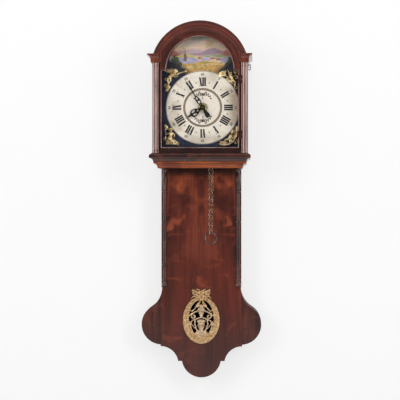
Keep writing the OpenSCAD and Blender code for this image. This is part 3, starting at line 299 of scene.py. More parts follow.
def makeWood(name, run, dark, middle, light, seed, coat, more=None):
    more, b = more or {}, woodBuild
    made, place = newMaterial(name, Coat_Weight=coat, Coat_Roughness=0.14, Coat_IOR=1.5,
                              Specular_IOR_Level=0.3)
    right, deep, up = partsOf(place)
    x, z = abs(right) if "matched" in more else right, up
    if run == "across":
        x, z = z, x
    if run in ("round", "bend"):
        fall = z - b["archUp"]
        above = fall if run == "round" else fall.math("MAXIMUM", 0.0)
        along = x.math("ARCTAN2", above) * b["archReach"]
        x = (x * x + above * above).math("SQRT")
        z = along if run == "round" else along + fall.math("MINIMUM", 0.0)
    board = put(made.node_tree, "CombineXYZ", {0: x, 1: deep, 2: z})
    grain = grouped(grainGroup, shifted(board, seed), Figure=more.get("figure", 9.0))
    shade, flame = grain["Shade"], grain["Flame"]
    if "matched" in more:  # the veneer is matched and darker at its edges above, plain and darker in the tail
        low = ranged(z, *b["plain"])
        plain = grouped(grainGroup, shifted(place, b["plainSeed"]), Figure=7.0)
        shade = between(low, shade - ranged(x, *b["edge"]), plain["Shade"] * 0.6 + 0.145)
        flame = between(low, flame, plain["Flame"] - 0.08)
    colour = ramp(shade, [(0.36, dark), (0.49, middle), (0.62, light)])
    colour = blend(ranged(flame, 0.48, 0.7, 0.0, 0.6), colour, light)
    for aside, height, reach, code, share in more.get("clouds", ()):
        drift = (cloud(place, 19.0) - 0.5) * 0.12
        du, dv = abs(right) - aside + drift, up - height - drift
        far = (du * du + dv * dv).math("SQRT")
        colour = blend(ranged(far, reach, reach * 0.2) * share, colour, code)
    if "highlightStripes" in more:  # painted highlights: pale upright lines that stand for the soft boxes' reflections in the varnish
        s = more["highlightStripes"]
        turn = (abs(right) - s["at"]).math("ARCTAN2", s["deep"] - deep)
        worn = (turn * s["count"] + 1.2).math("COSINE") + (grain["Shade"] - 0.5) * 3.0
        colour = blend(ranged(worn, 0.1, 0.85) * s["share"], colour, s["code"])
    for start, end, share, code in more.get("fades", ()):
        colour = blend(ranged(up, start, end, 0.0, share), colour, code)
    colour = blend((1.0 - grain["Pores"]) * 0.3, colour, dark)
    # the mask darkens corners and grooves with dirt together with painted shade
    dirtShade = grouped(dirtShadeGroup, place, Reach=b["dirtShadeReach"])
    colour = blend(dirtShade["Mask"] * 0.75, colour, b["dirtAndShade"])
    rough = ranged(dirtShade["Spotting"], 0.3, 0.7, 0.3, 0.44) + dirtShade["Mask"] * 0.2
    feed(made, Base_Color=colour, Roughness=rough)
    return bumped(made, grain["Pores"], 0.12, 0.0002)


# Metals: dull and bright tones, tone in the hollows (dirt and patina together with painted shade), metal,
# roughness, scale of patches, reach of the dirt and painted shade, and a paler heart of painted highlight that the
# oval has
metals = {
    "giltCasting": ("b8955a", "fbe6b8", "24170a", 0.7, 0.26, 80.0, 0.007),
    "ovalCasting": ("b98d5e", "ecc794", "3d2714", 0.4, 0.38, 130.0, 0.004, {
        "up": 0.9275, "wide": 0.043, "tall": 0.058, "code": "ead6c0", "share": 0.4}),
    "wheelBrass": ("9a7838", "d3b06a", "3a2a12", 0.95, 0.32, 35.0, 0.003),
    "collarBrass": ("8a7d52", "dccf9c", "2c2410", 0.6, 0.35, 90.0, 0.002),
    "bellMetal": ("8a744c", "c3ac7c", "33261a", 0.95, 0.28, 25.0, 0.004),
    "forgedIron": ("2b2724", "55504b", "120d0b", 0.8, 0.55, 50.0, 0.003),
    "chainIron": ("57463a", "cdb8a0", "1a110d", 0.9, 0.3, 120.0, 0.0015),
    "ringIron": ("4a3d3a", "8c7872", "1a1210", 0.85, 0.34, 60.0, 0.002),
    "darkBrass": ("3a1c15", "5b3327", "1a0d09", 0.8, 0.45, 70.0, 0.002),
    "brightSteel": ("6f7072", "b9babb", "28231f", 1.0, 0.28, 40.0, 0.003),
    "blackHands": ("0d0c0d", "211f22", "050505", 0.3, 0.35, 60.0, 0.002),
}


def makeMetal(name, dull, bright, hollow, metal, rough, patch, reach, highlightHeart=None):
    made, place = newMaterial(name, Metallic=metal)
    tarnish = grouped(tarnishGroup, place, Patches=patch)
    dirtShade = grouped(dirtShadeGroup, place, Reach=reach, Spots=patch * 3)
    colour = blend(tarnish["Mask"], dull, bright)
    # painted highlight: the oval's heart is made paler where its trophy catches the light
    if highlightHeart:
        wide, tall = highlightHeart["wide"], highlightHeart["tall"]
        local = stretched(place, (1 / wide, 0, 1 / tall), (0, 0, highlightHeart["up"] / tall))
        colour = blend(ranged(lengthOf(local), 1.0, 0.8, 0.0, highlightHeart["share"]), colour, highlightHeart["code"])
    # the hollow tone: dirt and patina together with painted shade, from the ambient-occlusion mask
    colour = blend(dirtShade["Mask"] * 0.9, colour, hollow)
    feed(made, Base_Color=colour, Roughness=ranged(tarnish["Grit"], 0.3, 0.7, rough + 0.1, rough - 0.05))
    return bumped(made, tarnish["Grit"], 0.25, 0.0003)


finish = {name: makeWood(name, *w) for name, w in woods.items()}
finish.update({name: makeMetal(name, *m) for name, m in metals.items()})
print("woods and metals mixed")

# Stage: a white wall behind the clock, which is open from the back, and a pale floor well below
stageSet = {"wallAt": 0.004, "floorAt": -1.78, "reach": 9.0, "wall": "a1a1a1", "floor": "b4b4b3",
            "speck": "8c8c8a", "glow": 0.69}


def fronting(place):
    return 1.0 - put(place.tree, "NewGeometry", out="Backfacing")


def stageMaterial(name, colour, openBack):
    made, place = newMaterial(name, Roughness=0.9, Specular_IOR_Level=0.1, Emission_Color=(1, 1, 1, 1))
    rays = put(place.tree, "LightPath", out=None)
    seen = (rays["Is Camera Ray"] + rays["Is Glossy Ray"]).math("ADD", rays["Is Transmission Ray"], clamp=True)
    base = blend(cloud(place, 40.0, 2.0) * 0.08, colour, stageSet["speck"])
    feed(made, Base_Color=base, Emission_Strength=seen * stageSet["glow"])
    if openBack:
        feed(made, Alpha=seen * fronting(place))
    return made


def stagePlane(name, corners, material):
    mesh = bpy.data.meshes.new(name)
    mesh.from_pydata(corners, [], [(0, 1, 2, 3)])
    mesh.materials.append(material)
    added(name, mesh)


def buildStage(s):
    r, y, z = s["reach"], s["wallAt"], s["floorAt"]
    wall, floor = stageMaterial("wallPaint", s["wall"], True), stageMaterial("floorPaint", s["floor"], False)
    stagePlane("wall", [(-r, y, z), (r, y, z), (r, y, r), (-r, y, r)], wall)
    stagePlane("floor", [(-r, -r, z), (r, -r, z), (r, r, z), (-r, r, z)], floor)


# Light: two tall soft boxes left and right of the camera, with even light from all round
lighting = {"air": 0.52, "shineFront": 0.07, "shineSide": 0.9, "aim": (0, -0.1, -0.5),
            "boxes": [(-38.0, 19.0), (38.0, 19.0)], "boxSize": (0.8, 1.5), "away": 2.9, "height": 0.75,
            "topAt": (0, -1.6, 1.5), "top": 7.0, "topSize": (1.6, 0.8)}


def areaLamp(name, place, aim, power, sizes):
    data = bpy.data.lights.new(name, "AREA")
    data.shape, data.energy = "RECTANGLE", power
    data.size, data.size_y = sizes
    lamp = added(name, data)
    lamp.location = place
    lamp.rotation_euler = (Vector(aim) - Vector(place)).to_track_quat("-Z", "Y").to_euler()


def buildLights(s):
    world = bpy.data.worlds.new("studio")
    bpy.context.scene.world = world
    world.use_nodes = True
    tree = world.node_tree
    rays = put(tree, "LightPath", out=None)
    seen = rays["Is Camera Ray"].math("ADD", rays["Is Transmission Ray"], clamp=True)
    aside = abs(partsOf(put(tree, "TexCoord", out="Generated"))[0])
    shine = ranged(aside, 0.5, 0.95, s["shineFront"], s["shineSide"])
    strength = between(seen, between(rays["Is Glossy Ray"], s["air"], shine), 1.0)
    sky = tree.nodes["Background"].inputs
    tree.links.new(strength.socket, sky["Strength"])
    sky["Color"].default_value = (1, 1, 1, 1)
    for i, (angle, power) in enumerate(s["boxes"]):
        a = radians(angle)
        place = (s["away"] * sin(a), -s["away"] * cos(a), s["aim"][2] + s["height"])
        areaLamp("softBox%d" % i, place, s["aim"], power, s["boxSize"])
    areaLamp("topBox", s["topAt"], s["aim"], s["top"], s["topSize"])


buildStage(stageSet)
buildLights(lighting)
print("stage and lights set")

# Which record slot and which body a drawn piece has
slotOf = {part["node"]: part["material_slot"] for part in frame["record"]["subparts"]}
bodyOf = {name: piece["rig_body"] for name, piece in nodes.items()}


def handed(made, body, stands):
    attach(made, body)
    if stands:
        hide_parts(*stands)


def coat(mesh, key):
    mesh.materials.clear()
    mesh.materials.append(finish[key])


def place(name, mesh, body, slot, key, stands=()):
    coat(mesh, key)
    made = added(name, mesh)
    handed(made, body, stands)
    return made


def paint(key, *names):
    for name in names:
        coat(nodes[name].data, key)


def soften(mesh, angle):
    mesh.shade_smooth()
    mesh.set_sharp_from_angle(angle=radians(angle))


def baked(made):
    result = bpy.data.meshes.new_from_object(made.evaluated_get(bpy.context.evaluated_depsgraph_get()))
    made.modifiers.clear()
    old = made.data
    made.data = result
    result.name = old.name
    bpy.data.meshes.remove(old)


@contextmanager
def reshaped(mesh):
    shape = bmesh.new()
    shape.from_mesh(mesh)
    yield shape
    shape.to_mesh(mesh)
    shape.free()


# A drawn piece copied, its doubles merged, its arrises rounded and its curves smoothed
dressing = {"merge": 0.00002, "level": 0.7, "sharp": 33.0, "smooth": 37.0, "segments": 2, "weight": 90}


def dress(node, key, arris, joined, d):
    mesh = nodes[node].data.copy()
    mesh.name = node + "Dressed"
    with reshaped(mesh) as shape:
        bmesh.ops.remove_doubles(shape, verts=shape.verts, dist=d["merge"])
        if joined:
            bmesh.ops.dissolve_limit(shape, angle_limit=radians(d["level"]), verts=shape.verts,
                                     edges=shape.edges)
    made = place(node + "Dressed", mesh, bodyOf[node], slotOf[node], key, (node,))
    if arris:
        bevel = made.modifiers.new("arris", "BEVEL")
        bevel.width, bevel.segments, bevel.limit_method = arris * milli, d["segments"], "ANGLE"
        bevel.angle_limit, bevel.use_clamp_overlap = radians(d["sharp"]), True
        baked(made)
    soften(made.data, d["smooth"])
    flat = made.modifiers.new("flat", "WEIGHTED_NORMAL")
    flat.keep_sharp, flat.weight = True, d["weight"]
    baked(made)


# The minute hand's tail is a paddle: it is spread across the hand by up to this share
paddle = {"angle": 327.2, "start": -8.0, "full": -24.0, "spread": 0.5}


def spreadPaddle(p):
    a = radians(p["angle"])
    along, aside = Vector((sin(a), 0, cos(a))), Vector((cos(a), 0, -sin(a)))
    middle = Vector((dialAt[0], 0, dialAt[1])) * milli
    for vertex in bpy.data.objects["minute_handDressed"].data.vertices:
        reach = (vertex.co - middle).dot(along) / milli
        share = min(1.0, max(0.0, (p["start"] - reach) / (p["start"] - p["full"])))
        vertex.co += aside * (vertex.co - middle).dot(aside) * share * p["spread"]


# Case and hood: arris is the rounding of each piece's edges in millimetres
boards = {
    "trunk_front": ("trunkWood", 0.8), "tail_ears": ("tailWood", 0.8), "trunk_sides": ("sideWood", 0.6),
    "hood_sides": ("sideWood", 0.6), "hood_roof": ("archWood", 0.8), "hood_frame": ("frameWood", 0.5),
    "hood_base": ("baseWood", 0.7), "arch_moulding": ("archWood", 0.6), "capital_blocks": ("blockWood", 0.6),
    "trunk_cornice": ("coveWood", 0.7), "door_frame": ("doorWood", 0.9), "hood_columns": ("columnWood", 0.4),
    "half_columns": ("turnedWood", 0.3), "pendulum_bob": ("wheelBrass", 0.3), "bell": ("bellMetal", 0.2),
    "chain_ring": ("ringIron", 0), "hood_hook": ("blackHands", 0), "hand_collet": ("collarBrass", 0.2),
    "minute_hand": ("blackHands", 0.25), "hour_hand": ("blackHands", 0.25),
}
for node, (key, arris) in boards.items():
    dress(node, key, arris, node != "arch_moulding", dressing)
spreadPaddle(paddle)
print("case and hood dressed")

# The back, the seat board and the movement keep their drawn shapes and get their finishes
paint("oldOak", "backboard", "tail_rim")
paint("oldOakAcross", "seat_board")
paint("darkBrass", "hinge_pins", "hinge_knuckles")
paint("wheelBrass", "ornament_pins", "dial_feet", "pillars", "front_bar", "centre_bar", "rear_bar",
      "going_great_wheel", "centre_wheel", "third_wheel", "escape_wheel", "minute_wheel", "hour_wheel",
      "strike_great_wheel", "strike_sprocket", "hoop_wheel", "warning_wheel", "fly", "count_wheel", "rating_nut")
paint("forgedIron", "bottom_plate", "top_plate", "suspension_cock", "bell_stand")
paint("brightSteel", "anchor", "suspension_spring", "pendulum_rod", "hammer", "locking_lever")


# Geometry Nodes: a tree with named inputs, put on an object and baked into a plain mesh
def newGrowth(name, **numbers):
    return newTree(name, "GeometryNodeTree", "Geometry", ("Geometry",), **numbers)


treeSmooth = 40  # degrees


def grow(tree, kind, sockets=None, **settings):
    return put(tree, kind, sockets, family="GeometryNode", **settings)


def finishTree(tree, ends, shape, key):
    solid = grow(tree, "RealizeInstances", {"Geometry": shape})
    solid = grow(tree, "SetMaterial", {"Geometry": solid, "Material": finish[key]})
    return close(tree, ends, {"Geometry": solid})


def grown(name, tree, values, spots, body, stands=()):
    seed = bpy.data.meshes.new(name)
    seed.from_pydata([spot for spot, turn in spots], [], [])
    turns = seed.attributes.new("turn", "FLOAT_VECTOR", "POINT")
    turns.data.foreach_set("vector", [part for spot, turn in spots for part in turn])
    made = added(name, seed)
    worker = made.modifiers.new("tree", "NODES")
    worker.node_group = tree
    for item in tree.interface.items_tree:
        if item.in_out == "INPUT" and item.name in values:
            worker[item.identifier] = values[item.name]
    baked(made)
    soften(made.data, treeSmooth)
    handed(made, body, stands)


# Chain: oval links of round wire on the points given, each turned a quarter from the last
def linkTree(key):
    tree, given, ends = newGrowth("chainLinks", Straight=0.0051, End=0.0026, Wire=0.00085)
    wide = given["End"] * 2.0
    outline = grow(tree, "CurvePrimitiveQuadrilateral", {"Width": wide, "Height": wide + given["Straight"]})
    bend = {"Curve": outline, "Count": 5, "Radius": given["End"] * 0.98}
    outline = grow(tree, "FilletCurve", bend, mode="POLY")
    wire = grow(tree, "CurvePrimitiveCircle", {"Resolution": 7, "Radius": given["Wire"]})
    link = grow(tree, "CurveToMesh", {"Curve": outline, "Profile Curve": wire})
    link = grow(tree, "Transform", {"Geometry": link, "Rotation": (pi / 2, 0, 0)})
    turn = grow(tree, "InputNamedAttribute", {"Name": "turn"}, data_type="FLOAT_VECTOR")
    spread = grow(tree, "InstanceOnPoints", {"Points": given["Geometry"], "Instance": link, "Rotation": turn})
    return finishTree(tree, ends, spread, key)


# In millimetres. A link is its straight part, its end's radius and its wire's radius; a sprocket is its number
# of links and its depth; the ring is the right, depth and drop of its top
chain = {"pitch": 8.0, "link": (5.1, 2.6, 0.85), "endLink": (5.0, 4.0, 1.0), "axis": 8.0, "greatDrop": 266.2,
         "going": (16, 140.0), "strike": (24, 100.0), "loopDrop": 392.0, "loopLinks": 8,
         "ring": (33.4648, 120.0, 632.7), "apart": 4.2, "strandRise": 7.75, "endRise": 2.1}


def strand(start, end, count, bearing):
    d = end - start
    azimuth, tilt = atan2(d.y, d.x), acos(max(-1.0, min(1.0, d.z / d.length)))
    lean = Matrix.Rotation(azimuth, 3, "Z") @ Matrix.Rotation(tilt, 3, "Y")
    spins = [azimuth - radians(bearing) + pi / 2 * (i % 2) for i in range(count)]
    return [((start + d * ((i + 0.5) / count)) * milli, (lean @ Matrix.Rotation(spin, 3, "Z")).to_euler())
            for i, spin in enumerate(spins)]


def halfRing(centre, radius, count, base, first):
    links = []
    for i in range(count):
        a = (i + 0.5) * pi / count
        turn = base @ Matrix.Rotation(-a, 3, "Y")
        spin = Matrix.Rotation(pi / 2 * ((i + first) % 2), 3, "Z")
        links.append(((centre + turn @ Vector((radius, 0, 0))) * milli, (turn @ spin).to_euler()))
    return links


def buildChains(c):
    tree = linkTree("chainIron")
    sizes, bigSizes = [dict(zip(("Straight", "End", "Wire"), (size * milli for size in c[key])))
                       for key in ("link", "endLink")]
    inside, right, left = [], [], []
    for first, (links, depth) in enumerate((c["going"], c["strike"])):
        centre, radius = Vector((c["axis"], -depth, -c["greatDrop"])), links * c["pitch"] / (2 * pi)
        inside += halfRing(centre, radius, links // 2, Matrix.Identity(3), first)
        right.append(centre + Vector((radius, 0, 0)))
        left.append(centre - Vector((radius, 0, 0)))
    ringRight, ringDepth, ringDrop = c["ring"]
    hanging, ends = [], []
    for odd, start in enumerate(right):
        end = Vector((ringRight + (2 * odd - 1) * c["apart"], -ringDepth, -ringDrop + c["strandRise"]))
        count = 2 * round(((end - start).length / c["pitch"] - odd) / 2) + odd
        hanging += strand(start, end, count, 90 - 90 * odd)
        ends.append((Vector((end.x, end.y, -ringDrop + c["endRise"])) * milli, Euler((0, 0, pi / 2))))
    across = left[1] - left[0]
    low = Vector((0, 0, across.length / 2 + c["greatDrop"] - c["loopDrop"]))
    bearing = atan2(across.y, across.x)
    count = 2 * int(-low.z / c["pitch"] / 2) + 1
    for odd, start in enumerate(left):
        inside += strand(start, start + low, count, degrees(bearing) - 90 + 90 * odd)
    spin = Matrix.Rotation(bearing, 3, "Z") @ Matrix.Rotation(pi, 3, "Y")
    inside += halfRing((left[0] + left[1]) / 2 + low, across.length / 2, c["loopLinks"], spin, 0)
    outer, inner = "hanging_chain", "chain_over_wheels"
    grown("chainLinks", tree, sizes, hanging, bodyOf[outer], (outer,))
    grown("chainEndLinks", tree, bigSizes, ends, bodyOf[outer])
    grown("chainOverSprockets", tree, sizes, inside, bodyOf[inner], (inner,))


buildChains(chain)
print("chains linked")

# Dial paint: an old cream coat, browned in patches towards the edge and crazed
dialPaint = {"cream": "f7eee0", "warm": "e2d3bc", "brown": "ab9370", "speck": "9b8f7c", "rim": "4d4843"}


def creamMaterial(p):
    made, spot = newMaterial("oldCream", Coat_Weight=0.15, Coat_Roughness=0.3)
    local = stretched(spot, (1, 1, 1), (-dialAt[0] * milli, 0, -dialAt[1] * milli))
    away = lengthOf(stretched(local, (1, 0, 1)))
    broad, fine = cloud(local, 14.0, 3.0, 0.6), cloud(local, 120.0, 4.0)
    browned = ranged(away, 0.06, 0.122, 0.0, 0.5) + ranged(abs(partsOf(local)[0]), 0.06, 0.115, 0.0, 0.3)
    colour = blend(ranged(fine, 0.35, 0.75, 0.0, 0.45), p["cream"], p["warm"])
    colour = blend(browned * ranged(broad, 0.42, 0.66), colour, p["brown"])
    colour = blend(ranged(away, 0.1165, 0.1212, 0.0, 0.5), colour, p["rim"])
    bent = shifted(local, put(spot.tree, "CombineXYZ", {0: fine * 0.004}))
    cells = {"Vector": bent, "Scale": 190.0}
    crack = put(spot.tree, "TexVoronoi", cells, "Distance", feature="DISTANCE_TO_EDGE")
    lines = ranged(crack, 0.0, 0.05, 0.35, 0.0)
    colour = blend(lines * ranged(broad, 0.4, 0.6), colour, p["speck"])
    feed(made, Base_Color=colour, Roughness=ranged(fine, 0.3, 0.7, 0.42, 0.6))
    return bumped(made, fine - lines, 0.15, 0.0002)


# Plain paints: tone, worn tone, amount of wear, scale of its patches
paints = {
    "navyPaint": ("141b33", "2c3450", 0.8, 130.0), "dialInk": ("141213", "2f2a26", 0.4, 320.0),
    "greyInk": ("4d4843", "a89f8e", 0.9, 380.0), "figureInk": ("3a3531", "857b6c", 0.8, 330.0),
    "dotInk": ("82785f", "b3a688", 0.9, 380.0), "ringPaint": ("8d7860", "a2947e", 0.7, 200.0),
    "flowerInk": ("30241d", "6a5846", 0.7, 300.0), "flowerRed": ("6e3d30", "9a6a52", 0.7, 300.0),
}


def plainPaint(name, main, worn, amount, scale):
    made, spot = newMaterial(name)
    fine, broad = cloud(spot, scale, 4.0, 0.3), cloud(spot, scale * 0.12)
    share = ranged(fine, 0.45, 0.7) * ranged(broad, 0.3, 0.7, 0.3, 1.0)
    feed(made, Base_Color=blend(share * amount, main, worn), Roughness=ranged(fine, 0.3, 0.7, 0.37, 0.55))
    return bumped(made, fine, 0.1, 0.0001)


def pictureMaterial():
    made, spot = newMaterial("picturePaint", Coat_Weight=0.2, Coat_Roughness=0.25)
    tones, fine = put(spot.tree, "Attribute", out="Color", attribute_name="paint"), cloud(spot, 260.0, 4.0)
    colour = blend(ranged(fine, 0.45, 0.75, 0.0, 0.3), tones, "7c6f58")
    feed(made, Base_Color=colour, Roughness=ranged(fine, 0.3, 0.7, 0.4, 0.6))
    return bumped(made, fine, 0.2, 0.0002)


def clearGlass():
    made, spot = newMaterial("oldGlass", Roughness=0.03, IOR=1.5, Transmission_Weight=1.0)
    ripple = cloud(spot, 9.0, 1.0)
    lit = 1.0 - put(spot.tree, "LightPath", out="Is Shadow Ray")
    solid = (put(spot.tree, "Fresnel", {"IOR": 1.5}) * 0.9).math("ADD", 0.05, clamp=True)
    feed(made, Base_Color=blend(ripple, "f4f8f6", "eef4f4"), Alpha=solid * fronting(spot) * lit)
    return bumped(made, ripple, 0.02, 0.001)


finish.update({name: plainPaint(name, *p) for name, p in paints.items()})
finish.update(oldCream=creamMaterial(dialPaint), picturePaint=pictureMaterial(), clearGlass=clearGlass())
paint("navyPaint", "dial_plate")
paint("oldCream", "chapter_disc")
paint("clearGlass", "door_glass")

# Paint on the dial: closed prisms that stand a hair above the disc, in millimetres round the dial's centre
dialFace = {"depth": 167.2, "sunk": 0.1}


def facePoint(depth):
    return Vector((dialAt[0], -depth, dialAt[1])) * milli


def painted(name, shapes, key, rise=0.14):
    mesh = bpy.data.meshes.new(name)
    behind, ahead = facePoint(dialFace["depth"] - dialFace["sunk"]), facePoint(dialFace["depth"] + rise)
    with reshaped(mesh) as shape:
        for outline in shapes:
            back, front = [[shape.verts.new(there + Vector((x, 0, z)) * milli) for x, z in outline]
                           for there in (behind, ahead)]
            shape.faces.new(front)
            shape.faces.new(back[::-1])
            for i in range(len(back)):
                shape.faces.new((back[i - 1], back[i], front[i], front[i - 1]))
        bmesh.ops.recalc_face_normals(shape, faces=shape.faces)
    place(name, mesh, "root", "cream", key)


def onDial(shapes, angle, radius):
    s, c = sin(radians(angle)), cos(radians(angle))
    return [[(u * c + (radius + v) * s, (radius + v) * c - u * s) for u, v in outline] for outline in shapes]


def bandOf(points, widths):
    left, right = [], []
    for i, (x, z) in enumerate(points):
        d = Vector(points[min(i + 1, len(points) - 1)]) - Vector(points[max(i - 1, 0)])
        d *= widths[i] / 2 / d.length
        left.append((x - d.y, z + d.x))
        right.append((x + d.y, z - d.x))
    return left + right[::-1]


def discOf(x, z, r, count, squash=1.0, turn=0.0):
    s, c = sin(radians(turn)), cos(radians(turn))
    turns = [2 * pi * i / count for i in range(count)]
    ring = [(r * cos(t), r * squash * sin(t)) for t in turns]
    return [(x + u * c - v * s, z + u * s + v * c) for u, v in ring]


# Rings of paint: name, finish, inner and outer radius, rise
rings = [("chapterRing", "ringPaint", 57.9, 63.2, 0.1), ("ringInside", "greyInk", 57.2, 58.0, 0.13),
         ("ringOutside", "greyInk", 63.1, 64.2, 0.13), ("discEdge", "greyInk", 119.2, 119.9, 0.1)]
ringParts = 72

# Roman hours: thick and thin strokes between thin serifs
hours = {"inner": 71.0, "tall": 28.0, "thick": 5.3, "thin": 1.0, "gap": 6.7, "wide": 9.6,
         "lean": 0.3, "spread": 1.2, "serif": 0.7, "overhang": 0.9, "serifHalf": 2.6,
         "order": ["XII", "I", "II", "III", "IIII", "V", "VI", "VII", "VIII", "IX", "X", "XI"]}


def hourShapes(word, h):
    wide = {"I": h["gap"], "V": h["wide"], "X": h["wide"]}
    x, shapes = -sum(wide[letter] for letter in word) / 2, []
    left, right = -h["wide"] * h["lean"], h["wide"] * h["lean"] * h["spread"]
    for letter in word:
        middle = x + wide[letter] / 2
        x += wide[letter]
        if letter == "I":
            strokes, half, high, low = [(0, 0, h["thick"])], h["thick"] / 2 + h["overhang"], (0,), (0,)
        else:
            out = -left if letter == "X" else 0.0
            strokes, half = [(left, out, h["thick"]), (right, -out, h["thin"])], h["serifHalf"]
            high, low = (left, right), (left, -left) if letter == "X" else (0,)
        for top, foot, width in strokes:
            shapes.append(bandOf([(middle + top, h["tall"]), (middle + foot, 0)], (width, width)))
        for v, spots in ((h["tall"], high), (0, low)):
            for u in spots:
                ends = [(middle + u - half, v), (middle + u + half, v)]
                shapes.append(bandOf(ends, (h["serif"], h["serif"])))
    return shapes


def dialMarks(h):
    romans = []
    for i, word in enumerate(h["order"]):
        romans += onDial(hourShapes(word, h), i * 30, h["inner"])
    painted("hourNumerals", romans, "dialInk")
    turns = [2 * pi * i / ringParts for i in range(ringParts + 1)]
    for name, key, inner, outer, rise in rings:
        ring = [[(r * sin(t), r * cos(t)) for r, t in ((inner, a), (outer, a), (outer, b), (inner, b))]
                for a, b in zip(turns, turns[1:])]
        painted(name, ring, key, rise)


# Minute figures, from Blender's own letter shapes made into meshes
minutes = {"radius": 105.5, "size": 11.5, "rise": 0.12, "bold": 0.28, "merge": 0.000005}


def minuteFigures(m):
    mesh = bpy.data.meshes.new("minuteFigures")
    upright = Matrix.Translation((0, 0, m["radius"] * milli)) @ Matrix.Rotation(pi / 2, 4, "X")
    with reshaped(mesh) as shape:
        for i in range(12):
            letters = bpy.data.curves.new("figure", "FONT")
            letters.body, letters.size, letters.align_x = str((i or 12) * 5), m["size"] * milli, "CENTER"
            letters.extrude, letters.resolution_u, letters.offset = m["rise"] * milli, 3, m["bold"] * milli
            figure = added("figure", letters)
            made = bpy.data.meshes.new_from_object(figure)
            spin = Matrix.Translation(facePoint(dialFace["depth"])) @ Matrix.Rotation(radians(i * 30), 4, "Y")
            made.transform(spin @ upright)
            shape.from_mesh(made)
            bpy.data.objects.remove(figure)
            bpy.data.meshes.remove(made)
        bmesh.ops.remove_doubles(shape, verts=shape.verts, dist=m["merge"])
    place("minuteFigures", mesh, "root", "cream", "figureInk")


# A ring of small equal shapes, each turned outwards, that stands upright round the point it is given
def ringTree(name, shaped, key, **inputs):
    tree, given, ends = newGrowth(name, Count=12, Radius=0.1, Start=0.0, **inputs)
    circle = grow(tree, "MeshCircle", {"Vertices": given["Count"], "Radius": given["Radius"]})
    right, up, deep = partsOf(grow(tree, "InputPosition"))
    spin = put(tree, "CombineXYZ", {2: up.math("ARCTAN2", right)})
    spread = {"Points": circle, "Instance": shaped(tree, given), "Rotation": spin}
    ring = grow(tree, "InstanceOnPoints", spread)
    turn = put(tree, "CombineXYZ", {0: pi / 2, 1: given["Start"]})
    ring = grow(tree, "Transform", {"Geometry": ring, "Rotation": turn})
    ring = grow(tree, "RealizeInstances", {"Geometry": ring})
    first = {"Geometry": given["Geometry"], "Value": grow(tree, "InputPosition"), "Index": 0}
    centre = grow(tree, "SampleIndex", first, data_type="FLOAT_VECTOR")
    return finishTree(tree, ends, grow(tree, "Transform", {"Geometry": ring, "Translation": centre}), key)


def dotShape(tree, given):
    return grow(tree, "MeshCylinder", {"Vertices": 10, "Radius": given["Dot"], "Depth": given["Thick"]})


dots = {
    "minuteDots": ("greyInk", {"Count": 60, "Radius": 0.1022, "Dot": 0.0007}),
    "hourDots": ("dotInk", {"Count": 12, "Radius": 0.0838, "Dot": 0.0024, "Start": pi / 12}),
    "innerDots": ("flowerInk", {"Count": 48, "Radius": 0.0565, "Dot": 0.0004}),
}


def dialDots(kinds):
    for name, (key, values) in kinds.items():
        tree = ringTree(name + "Tree", dotShape, key, Dot=0.001, Thick=0.0003)
        grown(name, tree, values, [(facePoint(dialFace["depth"]), (0, 0, 0))], "root")


# Two painted sprays of leaves and flowers inside the ring
sprays = {"stem": 1.1, "reach": 43.0, "half": 27}


def spray(sign, s):
    dark, red, middle = [], [], sign * s["reach"]
    for side in (-1, 1):
        stem = [(side * t * s["half"], sign * (s["reach"] - 3 + 6 * sin(t * 3.1) - 11 * t * t))
                for t in [i / 9 for i in range(10)]]
        dark.append(bandOf(stem, [s["stem"] * (1.3 - i / 12) for i in range(10)]))
        for x, z in stem[2::2]:
            dark.append(discOf(x + side * 0.8, z + sign * 3.4, 3.3, 10, 0.5, 60 * side * sign))
            dark.append(discOf(x + side * 1.4, z - sign * 3.2, 3.1, 10, 0.5, -50 * side * sign))
        dark.append(discOf(side * 27.5, middle - sign * 13.5, 2.4, 9))
        red.append(discOf(side * 10.5, middle + sign * 8.0, 2.4, 9))
    for i in range(6):
        a = pi / 3 * i
        red.append(discOf(3.8 * cos(a), middle + 3.8 * sin(a), 2.5, 9, 0.7, degrees(a)))
    dark.append(discOf(0, middle, 2.0, 9))
    dark.append(bandOf([(0, middle - sign * 5), (0, middle - sign * 15)], [1.4, 0.8]))
    dark.append(discOf(0, middle - sign * 12, 2.4, 9, 0.6, 90))
    return dark, red


dialMarks(hours)
minuteFigures(minutes)
dialDots(dots)
for sign, end in ((1, "Upper"), (-1, "Lower")):
    darkParts, redParts = spray(sign, sprays)
    painted("sprayLeaves" + end, darkParts, "flowerInk", 0.12)
    painted("sprayFlowers" + end, redParts, "flowerRed", 0.16)
print("dial painted")

# Landscape in the arch, painted point by point: a lake shore with a mill, a farm and two sails
picture = {"radius": 119.5, "grain": 1.15, "depth": 166.12, "below": -9.0, "discClear": 121.2,
           "archUp": -100.0, "dialDown": 120.0, "sheet": 0.0001}
tints = {name: Vector(tone(code)[:3]) for name, code in {
    "skyTop": "b9b7aa", "skyMid": "e0d3bb", "skyLow": "f0cfae", "blush": "e8c0ac", "cloud": "b08f5c",
    "cloudGrey": "8f9696", "ridge": "9c8292", "ridgeFar": "bfa6ac", "redHill": "c07466", "meadow": "c2b95c",
    "green": "87985a", "lake": "a29fc0", "shine": "dcd2d6", "bank": "d2a858", "path": "e2c486", "roof": "ab5040",
    "wall": "e8c7a4", "mill": "7d5a50", "sail": "f0e6d6", "tree": "33372b", "leaf": "5f6a3c", "corner": "131829",
}.items()}
